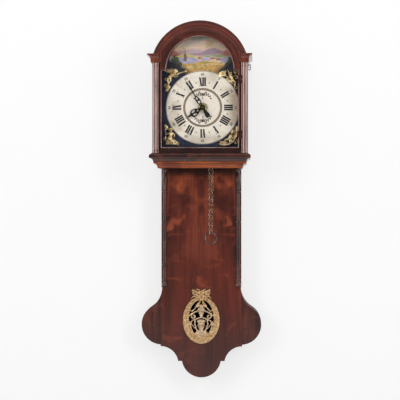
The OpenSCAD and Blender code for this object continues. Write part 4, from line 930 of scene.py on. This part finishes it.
# Hills from far to near: tint, middle, width, foot, height, seed, softness of the ridge
hills = [("ridgeFar", -30, 46, 64, 9, 2, 3), ("ridge", 34, 30, 60, 17, 5, 2),
         ("redHill", 84, 24, 52, 22, 8, 2.5), ("redHill", -92, 22, 50, 18, 9, 2.5),
         ("green", 44, 34, 48, 8, 12, 2.5), ("meadow", -52, 30, 47, 9, 14, 2.5)]
houses = [(22, 44, 30, 39), (46, 58, 29, 36), (-14, -5, 36, 40)]  # left, right, foot, eaves
sails = [(-24, 9.0), (4, 6.0)]  # left, height
trees = [(-91, 27, 13, 25, 20), (-77, 20, 9, 13, 21), (93, 24, 14, 21, 22), (79, 18, 9, 10, 23)]


def noiseAt(x, y, z):
    return noise.noise(Vector((x, y, z)))


def soft(inside, width):
    return min(1.0, max(0.0, 0.5 + inside / width))


def pictureColour(u, v):
    shift = noise.noise_vector(Vector((u * 0.09, v * 0.13, 1.7))) * 2.2
    x, y = u + shift.x, v + shift.y
    colour = tints["skyLow"]

    def lay(name, share):
        nonlocal colour
        colour = colour.lerp(tints[name], share)

    haze = noiseAt(x * 0.022, y * 0.05, 4)
    lay("skyMid", soft(y - 80, 24))
    lay("skyTop", soft(y - 103, 34))
    lay("cloud", 0.6 * soft(haze - 0.1 + (x - 40) * 0.004, 0.5) * soft(y - 76, 16))
    lay("cloudGrey", 0.55 * soft(-haze - 0.05 - x * 0.002, 0.5) * soft(y - 84, 16))
    lay("blush", 0.5 * soft(noiseAt(x * 0.03, y * 0.07, 21) - 0.05, 0.35) * soft(y - 66, 8))
    for name, middle, wide, low, tall, seed, width in hills:
        top = low + tall * exp(-((x - middle) / wide) ** 2)
        top += noiseAt(x * 0.05, seed, 0) * 3 + noiseAt(x * 0.17, seed, 3) * 1.3
        lay(name, soft(top - y, width) * 0.93)
        lay("shine", 0.35 * soft(top - y, width) * soft(y - top + 2.6, 1.6))
    lay("lake", soft(45 + 1.5 * sin(x * 0.09) - y, 2))
    lay("shine", 0.7 * soft(noiseAt(x * 0.03, y * 0.9, 7) - 0.25, 0.2) * soft(44 - y, 2) * soft(y - 27, 3))
    shore = 29 + 4.5 * sin(x * 0.045 + 0.8) + 2 * noiseAt(x * 0.1, 1, 2)
    ground = noiseAt(x * 0.06, y * 0.16, 9)
    lay("bank", soft(shore - y, 2))
    lay("path", 0.8 * soft(4 - abs(y - 19 - 6 * sin(x * 0.03)), 3))
    lay("leaf", 0.55 * soft(ground - 0.15, 0.3) * soft(shore - y - 1, 2))
    lay("roof", 0.45 * soft(-ground - 0.2, 0.3) * soft(shore - y - 3, 3))
    for left, right, low, high in houses:
        lay("wall", soft(min(x - left, right - x, y - low, high - y), 1))
        if left - 1.5 < x < right + 1.5:
            roofTop = high + 6.5 - abs(x - (left + right) / 2) * 0.45
            lay("roof", soft(min(roofTop - y, y - high), 1))
        for start in range(left + 3, right - 5, 6):  # its windows
            lay("mill", soft(min(x - start, start + 1.6 - x, y - low - 2.5, low + 6 - y), 1))
    if 32 < y < 63:  # mill on the left bank, with its cap and its four sails
        lay("mill", soft(5.2 - (y - 34) * 0.07 - abs(x + 58), 1))
    lay("tree", soft(3.6 - hypot(x + 58, y - 63), 1))
    for k in range(4):
        s, c = sin(radians(24 + 90 * k)), cos(radians(24 + 90 * k))
        along, aside = (x + 56) * c + (y - 61) * s, (y - 61) * c - (x + 56) * s
        if 0 < along < 19:
            lay("wall", 0.85 * soft(min(aside - 0.2, 2.9 - aside), 0.8))
            lay("mill", soft(0.7 - abs(aside), 0.6))
    for spot, size in sails:
        if 39 < y < 39 + size:
            lay("sail", soft(min(x - spot, (39 + size - y) * 0.5 - (x - spot)), 0.8))
        lay("mill", soft(min(1 - abs(y - 38.4), size * 0.42 - abs(x - spot - 1)), 0.7))
    for middle, base, wide, tall, seed in trees:
        edge = 1 - hypot((x - middle) / wide, (y - base) / tall) + 0.35 * noiseAt(x * 0.2, y * 0.2, seed)
        glint = noiseAt(x * 0.3, y * 0.3, seed + 5) + 0.05 + (middle - x) * 0.012
        lay("tree", soft(edge, 0.12))
        lay("leaf", 0.85 * soft(edge, 0.12) * soft(glint, 0.25))
    lay("corner", soft(14 - y + (abs(x) - 62) * 0.5, 16) * soft(abs(x) - 46, 30))
    lay("corner", soft(hypot(u, max(v, 0)) - 117.2, 3))
    return colour * (1 + 0.16 * noiseAt(x * 0.35, y * 0.5, 11))


def paintPicture(p):
    grain, radius, clear, down = p["grain"], p["radius"], p["discClear"], p["dialDown"]
    across, up = int(radius / grain) + 1, int((radius - p["below"]) / grain) + 1
    verts, colours, index = [], [], {}
    for j in range(up + 1):
        for i in range(-across, across + 1):
            u, v = i * grain, p["below"] + j * grain
            reach, toDial = hypot(u, max(v, 0)), hypot(u, v + down)
            if reach > radius + grain or toDial < clear - grain:
                continue
            if toDial < clear:
                u, v = u * clear / toDial, (v + down) * clear / toDial - down
            if reach > radius:
                u, v = u * radius / reach, v * radius / reach if v > 0 else v
            index[i, j] = len(verts)
            verts.append(((dialAt[0] + u) * milli, -p["depth"] * milli, (p["archUp"] + v) * milli))
            colours += [*pictureColour(u, v), 1.0]
    squares = [[(i, j), (i + 1, j), (i + 1, j + 1), (i, j + 1)] for i, j in index]
    faces = [[index[corner] for corner in square] for square in squares if index.keys() >= set(square)]
    mesh = bpy.data.meshes.new("archPicture")
    mesh.from_pydata(verts, [], faces)
    mesh.color_attributes.new("paint", "FLOAT_COLOR", "POINT").data.foreach_set("color", colours)
    sheet = place("archPicture", mesh, "root", "navy", "picturePaint")
    thin = sheet.modifiers.new("thin", "SOLIDIFY")
    thin.thickness, thin.offset = p["sheet"], -1.0
    baked(sheet)


paintPicture(picture)
print("arch painted")


# Cast ornaments: rods and rounded lumps joined by a voxel remesh, smoothed and cut flat at the back.
# Places are (right, up, out) in millimetres from each casting's own centre
castWork = {"rounds": 1, "relax": 0.4, "smooth": 55, "upright": 1e-6}


class Lumps:
    def __init__(self):
        self.points, self.faces = [], []

    def rod(self, points, widths, lift=0.7, sides=10):
        rings = []
        for i, point in enumerate(points):
            along = (Vector(points[min(i + 1, len(points) - 1)]) - Vector(points[max(i - 1, 0)])).normalized()
            side = Vector((0, 0, 1)).cross(along)
            side = side.normalized() if side.length > castWork["upright"] else Vector((1, 0, 0))
            out = along.cross(side).normalized() * lift
            width = widths[i] if isinstance(widths, list) else widths
            first = len(self.points)
            for turn in [2 * pi * k / sides for k in range(sides)]:
                self.points.append(Vector(point) + (side * cos(turn) + out * sin(turn)) * width)
            rings.append(range(first, first + sides))
        for a, b in zip(rings, rings[1:]):
            self.faces += [(a[k - 1], a[k], b[k], b[k - 1]) for k in range(sides)]
        self.faces += [tuple(rings[0])[::-1], tuple(rings[-1])]

    def lump(self, spot, sizes, turn=0.0):
        matrix = Matrix.Translation(spot) @ Matrix.Rotation(radians(turn), 4, "Z")
        matrix @= Matrix.Diagonal((*sizes, 1.0))
        first = len(self.points)
        self.points += [matrix @ p for p in ballPoints]
        self.faces += [tuple(first + i for i in f) for f in ballFaces]

    def curl(self, x, y, start, end, fromTurn, toTurn, thick, thin, out=2.0, count=22):
        points, widths = [], []
        for t in [i / count for i in range(count + 1)]:
            a, r = radians(fromTurn + (toTurn - fromTurn) * t), start + (end - start) * t
            points.append((x + r * cos(a), y + r * sin(a), out))
            widths.append(thick + (thin - thick) * t)
        self.rod(points, widths)
        self.lump(points[-1], (thin * 1.6, thin * 1.6, thin * 1.2))

    def leaf(self, base, tip, wide, lobes=4, out=2.0):
        base, d = Vector(base), Vector(tip) - Vector(base)
        turn, side = degrees(atan2(d.y, d.x)), Vector((-d.y, d.x)).normalized()
        for t in [i / lobes for i in range(lobes)]:
            size = wide * (1 - 0.6 * t)
            for s in (-1, 1):
                spot = base + d * (t + 0.12) + side * (s * size * 0.62)
                sizes = (d.length / lobes * 0.85, size * 0.42, 1.9 - 0.7 * t)
                self.lump((*spot, out), sizes, turn + s * 24)
        self.rod([(*base, out + 1.2), (*(base + d * 0.6), out + 1.4), (*tip, out)], [1.5, 1.1, 0.6])

    def head(self, x, y, out, r, turn=0.0):
        s, c = sin(radians(turn)), cos(radians(turn))
        parts = [(0, 0, 0, 0.86, 1, 0.85), (0, -0.05, 0.8, 0.13, 0.3, 0.2),  # skull and nose
                 (0, -0.78, 0.42, 0.34, 0.22, 0.3), (0, -0.44, 0.7, 0.24, 0.08, 0.12)]  # chin and lips
        for side in (-1, 1):  # cheeks and brows
            parts += [(side * 0.42, -0.22, 0.58, 0.24, 0.24, 0.18), (side * 0.32, 0.2, 0.68, 0.2, 0.07, 0.13)]
        for a in [radians(10 + i * 20) for i in range(9)]:  # locks of hair
            parts.append((0.9 * cos(a), 0.25 + 0.82 * sin(a), 0.25, 0.3, 0.27, 0.36))
        for u, v, w, *sizes in parts:
            spot = (x + (u * c - v * s) * r, y + (u * s + v * c) * r, out + w * r)
            self.lump(spot, [size * r for size in sizes], turn)


def unitBall():
    ball = bmesh.new()
    bmesh.ops.create_icosphere(ball, subdivisions=3, radius=1.0)
    ball.verts.index_update()
    return [v.co.copy() for v in ball.verts], [tuple(v.index for v in f.verts) for f in ball.faces]


ballPoints, ballFaces = unitBall()


def castings(name, makers, s):
    cast = Lumps()
    for maker, aside in makers:
        first = len(cast.points)
        maker(cast)
        cast.points[first:] = [Vector((x + aside, y, z * s["relief"])) for x, y, z in cast.points[first:]]
    right, up = s["centre"]
    spots = [Vector((right + x, -s["depth"] - z, up + y)) * milli for x, y, z in cast.points]
    mesh = bpy.data.meshes.new(name)
    mesh.from_pydata(spots, [], cast.faces)
    made = place(name, mesh, "root", "gilt", s["key"], (s["stands"],))
    skin = made.modifiers.new("skin", "REMESH")
    skin.mode, skin.voxel_size, skin.use_smooth_shade = "VOXEL", s["voxel"] * milli, True
    relax = made.modifiers.new("relax", "SMOOTH")
    relax.iterations, relax.factor = castWork["rounds"], castWork["relax"]
    baked(made)
    with reshaped(made.data) as shape:
        everything = shape.verts[:] + shape.edges[:] + shape.faces[:]
        cut = bmesh.ops.bisect_plane(shape, geom=everything, plane_co=(0, -s["depth"] * milli, 0),
                                     plane_no=(0, 1, 0), clear_outer=True)
        rim = [e for e in cut["geom_cut"] if isinstance(e, bmesh.types.BMEdge)]
        bmesh.ops.holes_fill(shape, edges=rim, sides=0)
    coat(made.data, s["key"])
    soften(made.data, castWork["smooth"])


def hornBlower(cast):
    cast.head(-90, 117, 4.5, 7.2, -20)
    cast.lump((-101, 107, 3), (10.5, 7.2, 5.2), 42)
    cast.lump((-108, 101, 3), (7.5, 6.5, 4.8), 60)
    cast.rod([(-96, 112, 4.5), (-86, 107, 5.5), (-77, 111, 6)], [2.9, 2.5, 1.9])
    cast.rod([(-98, 106, 4), (-88, 100, 5), (-80, 104, 4)], [2.8, 2.3, 1.8])
    cast.rod([(-84, 112, 6), (-72, 114, 5.5), (-60, 118, 4.5), (-52, 120.5, 4)], [1.2, 1.6, 2.3, 4.2])
    cast.rod([(-109, 100, 4), (-116, 91, 4.5), (-112, 80, 3)], [4.4, 3.6, 2.4])
    cast.rod([(-106, 98, 3), (-105, 88, 4), (-115, 76, 2.5)], [4.2, 3.2, 2.2])
    for i in range(5):
        a = radians(150 - i * 24)
        tip = (-104 + 19 * cos(a), 112 + 15 * sin(a), 2.0)
        cast.rod([(-104, 112, 3.5), tip], [2.8, 2.2])
        cast.lump(tip, (3.8, 2.4, 1.8), degrees(a))
    cast.curl(-120, 74, 9, 2.4, 60, -300, 2.2, 1.5)
    cast.curl(-120, 92, 8, 2.4, -60, 260, 2.0, 1.4)
    cast.leaf((-112, 72), (-119, 54), 7)


shellRib = [(0, 0, 3), (11, 9, 4.5), (21, 15, 2)]  # along, up and out


def shellSpray(cast):
    for a in [radians(82 + i * 17) for i in range(8)]:
        rib = [(84 + u * cos(a), 106 + v * sin(a), out) for u, v, out in shellRib]
        cast.rod(rib, [1.6, 2.4, 2.7])
    cast.lump((84, 106, 4), (5, 4.5, 3.4), 30)
    cast.head(103, 108, 4.2, 6.2, 24)
    cast.lump((108, 97, 3), (7, 9.5, 4.8), 24)
    cast.rod([(104, 101, 5), (95, 99, 5), (88, 103, 5)], [2.5, 2.1, 1.7])
    cast.rod([(100, 103, 5), (98, 114, 5), (92, 125, 3.5)], [2.2, 1.7, 1.2])
    cast.rod([(111, 90, 4), (119, 82, 4), (117, 70, 2.5)], [4.0, 3.1, 2.0])
    cast.rod([(108, 89, 3), (110, 80, 3), (119, 74, 2)], [3.6, 2.7, 2.0])
    cast.curl(121, 98, 9, 2.4, 200, -110, 2.1, 1.4)
    cast.curl(122, 66, 7, 2.0, 100, 420, 1.9, 1.3)
    cast.leaf((92, 98), (110, 80), 6.5)
    cast.leaf((116, 112), (128, 122), 6)


def robedFigure(cast):
    cast.head(-104, -75, 4.6, 6.2, 8)
    cast.lump((-105, -88, 3), (7.6, 10, 5.2), 8)
    cast.lump((-108, -102, 3), (9.5, 9, 4.8), 0)
    for i in range(5):
        x = -117 + i * 4.6
        cast.rod([(x * 0.4 - 64, -96, 4.5), (x, -108, 4.2), (x - 1.5 + i, -122, 2.5)], [2.4, 2.5, 2.2])
    cast.rod([(-99, -83, 5), (-92, -90, 5.5), (-95, -99, 5)], [2.6, 2.2, 1.8])
    cast.rod([(-111, -84, 5), (-119, -90, 5), (-122, -81, 4)], [2.6, 2.1, 1.8])
    cast.rod([(-123, -68, 3), (-122, -92, 3), (-121, -118, 3)], 1.2)
    cast.curl(-92, -116, 7.5, 2.2, 110, -220, 2.2, 1.5)
    cast.curl(-124, -104, 6, 2.0, 40, 330, 1.9, 1.3)
    cast.leaf((-98, -110), (-78, -121), 6.5)
    cast.leaf((-117, -72), (-124, -56), 6)


def leafScroll(cast):
    cast.curl(112, -86, 15, 4.0, -110, 215, 3.0, 1.9, 2.6, 30)
    cast.curl(90, -112, 11.5, 3.0, -30, 290, 2.6, 1.7, 2.6, 26)
    cast.curl(120, -114, 8, 2.2, 120, -220, 2.3, 1.5)
    cast.rod([(66, -121, 2), (80, -123, 3), (98, -121, 3.5), (112, -112, 3.5), (122, -98, 3), (124, -74, 2),
              (120, -60, 1.5)], [1.6, 2.6, 3.2, 3.4, 3.0, 2.2, 1.4])
    cast.head(109, -83, 4.6, 5.6, -30)
    cast.lump((104, -95, 3.4), (7, 8.5, 4.6), -30)
    cast.rod([(101, -98, 4), (93, -105, 4.5), (84, -108, 3)], [3.6, 2.9, 2.0])
    cast.rod([(108, -92, 5), (116, -96, 5), (118, -104, 4)], [2.4, 2.0, 1.7])
    cast.leaf((88, -118), (68, -115), 6.5)
    cast.leaf((104, -112), (98, -98), 6)
    cast.leaf((120, -92), (108, -72), 6.5)
    cast.leaf((122, -80), (128, -60), 6)


spandrels = {"key": "giltCasting", "stands": "spandrels", "depth": 166.0, "centre": dialAt, "voxel": 0.7,
             "relief": 1.5, "inward": -11}
inward = spandrels["inward"]
castings("spandrelCastings", [(hornBlower, 0), (shellSpray, inward), (robedFigure, 0), (leafScroll, inward)],
         spandrels)
print("spandrels cast")

# Oval of cast brass with a ribbon above it, laid on the trunk
oval = {"key": "ovalCasting", "stands": "oval_ornament", "depth": 72.0, "centre": (0.0, -927.5), "voxel": 0.75,
        "relief": 1.25, "halfWide": 62.0, "halfTall": 79.5, "leaves": 58, "parts": 96}


def ovalPoint(t, inset):
    return (oval["halfWide"] - inset) * sin(t), (oval["halfTall"] - inset) * cos(t)


def ovalWidth(t):
    return 10.2 - 4.2 * max(0.0, cos(t)) ** 2 + 3.2 * max(0.0, -cos(t)) ** 3


def ovalFrame(cast):
    turns = [2 * pi * i / oval["parts"] for i in range(oval["parts"] + 1)]
    widths = [ovalWidth(t) for t in turns]
    cast.rod([(*ovalPoint(t, w), 0.6) for t, w in zip(turns, widths)], widths, 0.3, 12)
    cast.rod([(*ovalPoint(t, 1.6), 2.2) for t in turns], 1.5, 1.0, 8)
    cast.rod([(*ovalPoint(t, 4.6), 2.2) for t in turns], 0.9, 1.0, 8)
    cast.rod([(*ovalPoint(t, 2 * w - 1.3), 2.0) for t, w in zip(turns, widths)], 1.2, 1.0, 8)
    for i in range(oval["leaves"]):
        t = 2 * pi * (i + 0.5) / oval["leaves"]
        lean = degrees(atan2(cos(t) * oval["halfTall"], sin(t) * oval["halfWide"]))
        for s in (-1, 1):
            cast.lump((*ovalPoint(t, ovalWidth(t) + s * 1.9), 3.2), (3.5, 1.5, 1.1), lean + 90 + s * 30)


def mirrored(cast, rods, lift=0.7):
    for points, widths in rods:
        for s in (-1, 1):
            cast.rod([(s * x, y, out) for x, y, out in points], widths, lift)


ribbonRods = [
    ([(2, 84, 4), (10, 94, 4.5), (22, 99, 4), (29, 93, 3.5), (24, 86, 3), (12, 84, 3.5), (2, 83, 4)],
     [2.2, 3.4, 3.9, 3.4, 3.1, 2.6, 2.2]),
    ([(3, 82, 3.5), (14, 78, 3.2), (26, 80, 3), (34, 72, 2.2)], [2.4, 3.1, 2.6, 1.2]),
    ([(2, 90, 3.5), (7, 101, 3), (16, 105, 2.5)], [2.0, 2.6, 1.2]),
]


def ribbonBow(cast):
    mirrored(cast, ribbonRods, 0.6)
    for s in (-1, 1):
        cast.leaf((s * 12, 89), (s * 30, 102), 5.5)
    cast.lump((0, 84.5, 4.5), (5.4, 5.0, 4.0))
    cast.lump((1, 95, 3.5), (4.6, 6.2, 2.8))


trophyRods = [
    ([(0, 70, 2.4), (9, 58, 3), (19, 42, 3), (30, 30, 2.6), (38, 33, 2.4), (43, 43, 2)],
     [2.2, 2.0, 2.0, 2.4, 2.0, 1.3]),
    ([(12, 31, 3), (22, 27, 3.2), (34, 22, 2.6), (40, 14, 2.2), (44, 15, 1.6)], [2.4, 2.2, 2.0, 1.6, 1.6]),
    ([(0, 9, 3.6), (9, 7.5, 3.8), (18, 3, 3.2), (30, -1, 2.6), (36, -7, 2.2)], [2.0, 2.2, 2.4, 2.0, 1.6]),
    ([(20, 2, 2.8), (22, -14, 3.2), (17, -28, 3.2), (11, -42, 2.6)], [2.4, 2.5, 2.4, 2.2]),
    ([(36, -18, 2.4), (33, -30, 2.6), (27, -42, 2.4), (20, -50, 2.0)], [2.2, 1.9, 1.8, 2.2]),
    ([(33, -12, 2.4), (26, -22, 2.6), (18, -30, 2.4)], 1.4),
]
# The stem up the middle: height, half width, half height and thickness of each lump
trophyStem = [(46, 7.5, 7, 4.2), (35, 13, 8.5, 4.6), (24, 9, 7, 4.2), (15, 6, 7, 4.4), (-4, 15, 6.5, 4.4),
              (-13, 12, 8, 4.8), (-24, 10, 8, 4.4), (-35, 7, 8, 4.0), (-46, 12, 6, 3.6), (-54, 20, 7, 2.6)]


def ovalTrophy(cast):
    mirrored(cast, trophyRods)
    for s, end in ((-1, 440), (1, -260)):
        cast.curl(s * 25, 13, 10.5, 2.6, 90, end, 2.6, 2.0, 3.0, 26)
        for a in [2 * pi * i / 7 for i in range(7)]:
            cast.lump((s * 38 + 4.6 * cos(a), -11 + 4.6 * sin(a), 3.0), (2.9, 2.9, 1.8))
        cast.lump((s * 38, -11, 4.0), (2.6, 2.6, 2.0))
        cast.leaf((s * 15, 45), (s * 5, 62), 5)
        cast.leaf((s * 8, -36), (s * 24, -52), 5.5)
    for y, *sizes in trophyStem:
        cast.lump((0, y, 2.0), sizes)
    for i in range(-2, 3):
        cast.lump((i * 4.2, 37 - abs(i) * 1.2, 6.4), (1.8, 3.4, 1.4))
        cast.lump((i * 3.8, -12 - abs(i) * 0.8, 6.0), (1.6, 4.6, 1.6))
        cast.lump((i * 2.7, -27, 5.6), (1.1, 3.6, 1.3))
    cast.rod([(-14, -18, 6), (0, -20.5, 6.5), (14, -18, 6)], 1.2)
    cast.rod([(-12, 29, 5.8), (0, 26.5, 6.2), (12, 29, 5.8)], 1.3)


castings("ovalCasting", [(ovalFrame, 0), (ribbonBow, 0), (ovalTrophy, 0)], oval)
print("oval cast")

# Pale lips round the door's opening, pale with wear and with a painted highlight of their rounded edge, and a dark
# bead along the outer edge of its arch
lips = {"half": 126.2, "arch": 111.8, "outer": 130.0, "springing": -100.0, "foot": -353.2, "face": 203.0,
        "thick": 1.3, "bead": 0.9, "parts": 60, "smooth": 60}


def swept(name, paths, thick, key):
    shape = Lumps()
    for path in paths:
        shape.rod([(x, y, lips["face"]) for x, y in path], thick, 0.8, 8)
    mesh = bpy.data.meshes.new(name)
    mesh.from_pydata([Vector((x, -z, y)) * milli for x, y, z in shape.points], [], shape.faces)
    with reshaped(mesh) as fixed:
        bmesh.ops.recalc_face_normals(fixed, faces=fixed.faces)
    soften(mesh, lips["smooth"])
    place(name, mesh, "door", slotOf["door_frame"], key)


def archOf(radius, start, end, s):
    turns = [radians(start + (end - start) * i / s["parts"]) for i in range(s["parts"] + 1)]
    return [(radius * cos(t), s["springing"] + radius * sin(t)) for t in turns]


def doorLips(s):
    foot = [(-s["half"], s["foot"]), (s["half"], s["foot"])]
    shoulders = [(side * s["half"], s["springing"]) for side in (-1, 1)]
    opening = [foot[0], shoulders[0], *archOf(s["arch"], 180, 0, s), shoulders[1], foot[1]]
    swept("doorLips", [opening, foot], s["thick"], "lipHighlightWood")
    swept("doorArchBead", [archOf(s["outer"], 174, 6, s)], s["bead"], "doorWood")


doorLips(lips)

# Petals of sheet brass on the collet behind the hands, as one tree of instances
rosette = {"Count": 9, "Radius": 0.0098, "Long": 0.0044, "Wide": 0.0026, "High": 0.0009}
petalsAt = 171.2  # depth in millimetres


def petalShape(tree, given):
    ball = grow(tree, "MeshUVSphere", {"Segments": 16, "Rings": 8, "Radius": 1.0})
    sizes = put(tree, "CombineXYZ", {0: given["Long"], 1: given["Wide"], 2: given["High"]})
    return grow(tree, "Transform", {"Geometry": ball, "Scale": sizes})


petals = ringTree("petalRing", petalShape, "collarBrass", Long=0.004, Wide=0.003, High=0.001)
grown("colletPetals", petals, rosette, [(facePoint(petalsAt), (0, 0, 0))], bodyOf["hand_collet"])
print("lips and petals set")
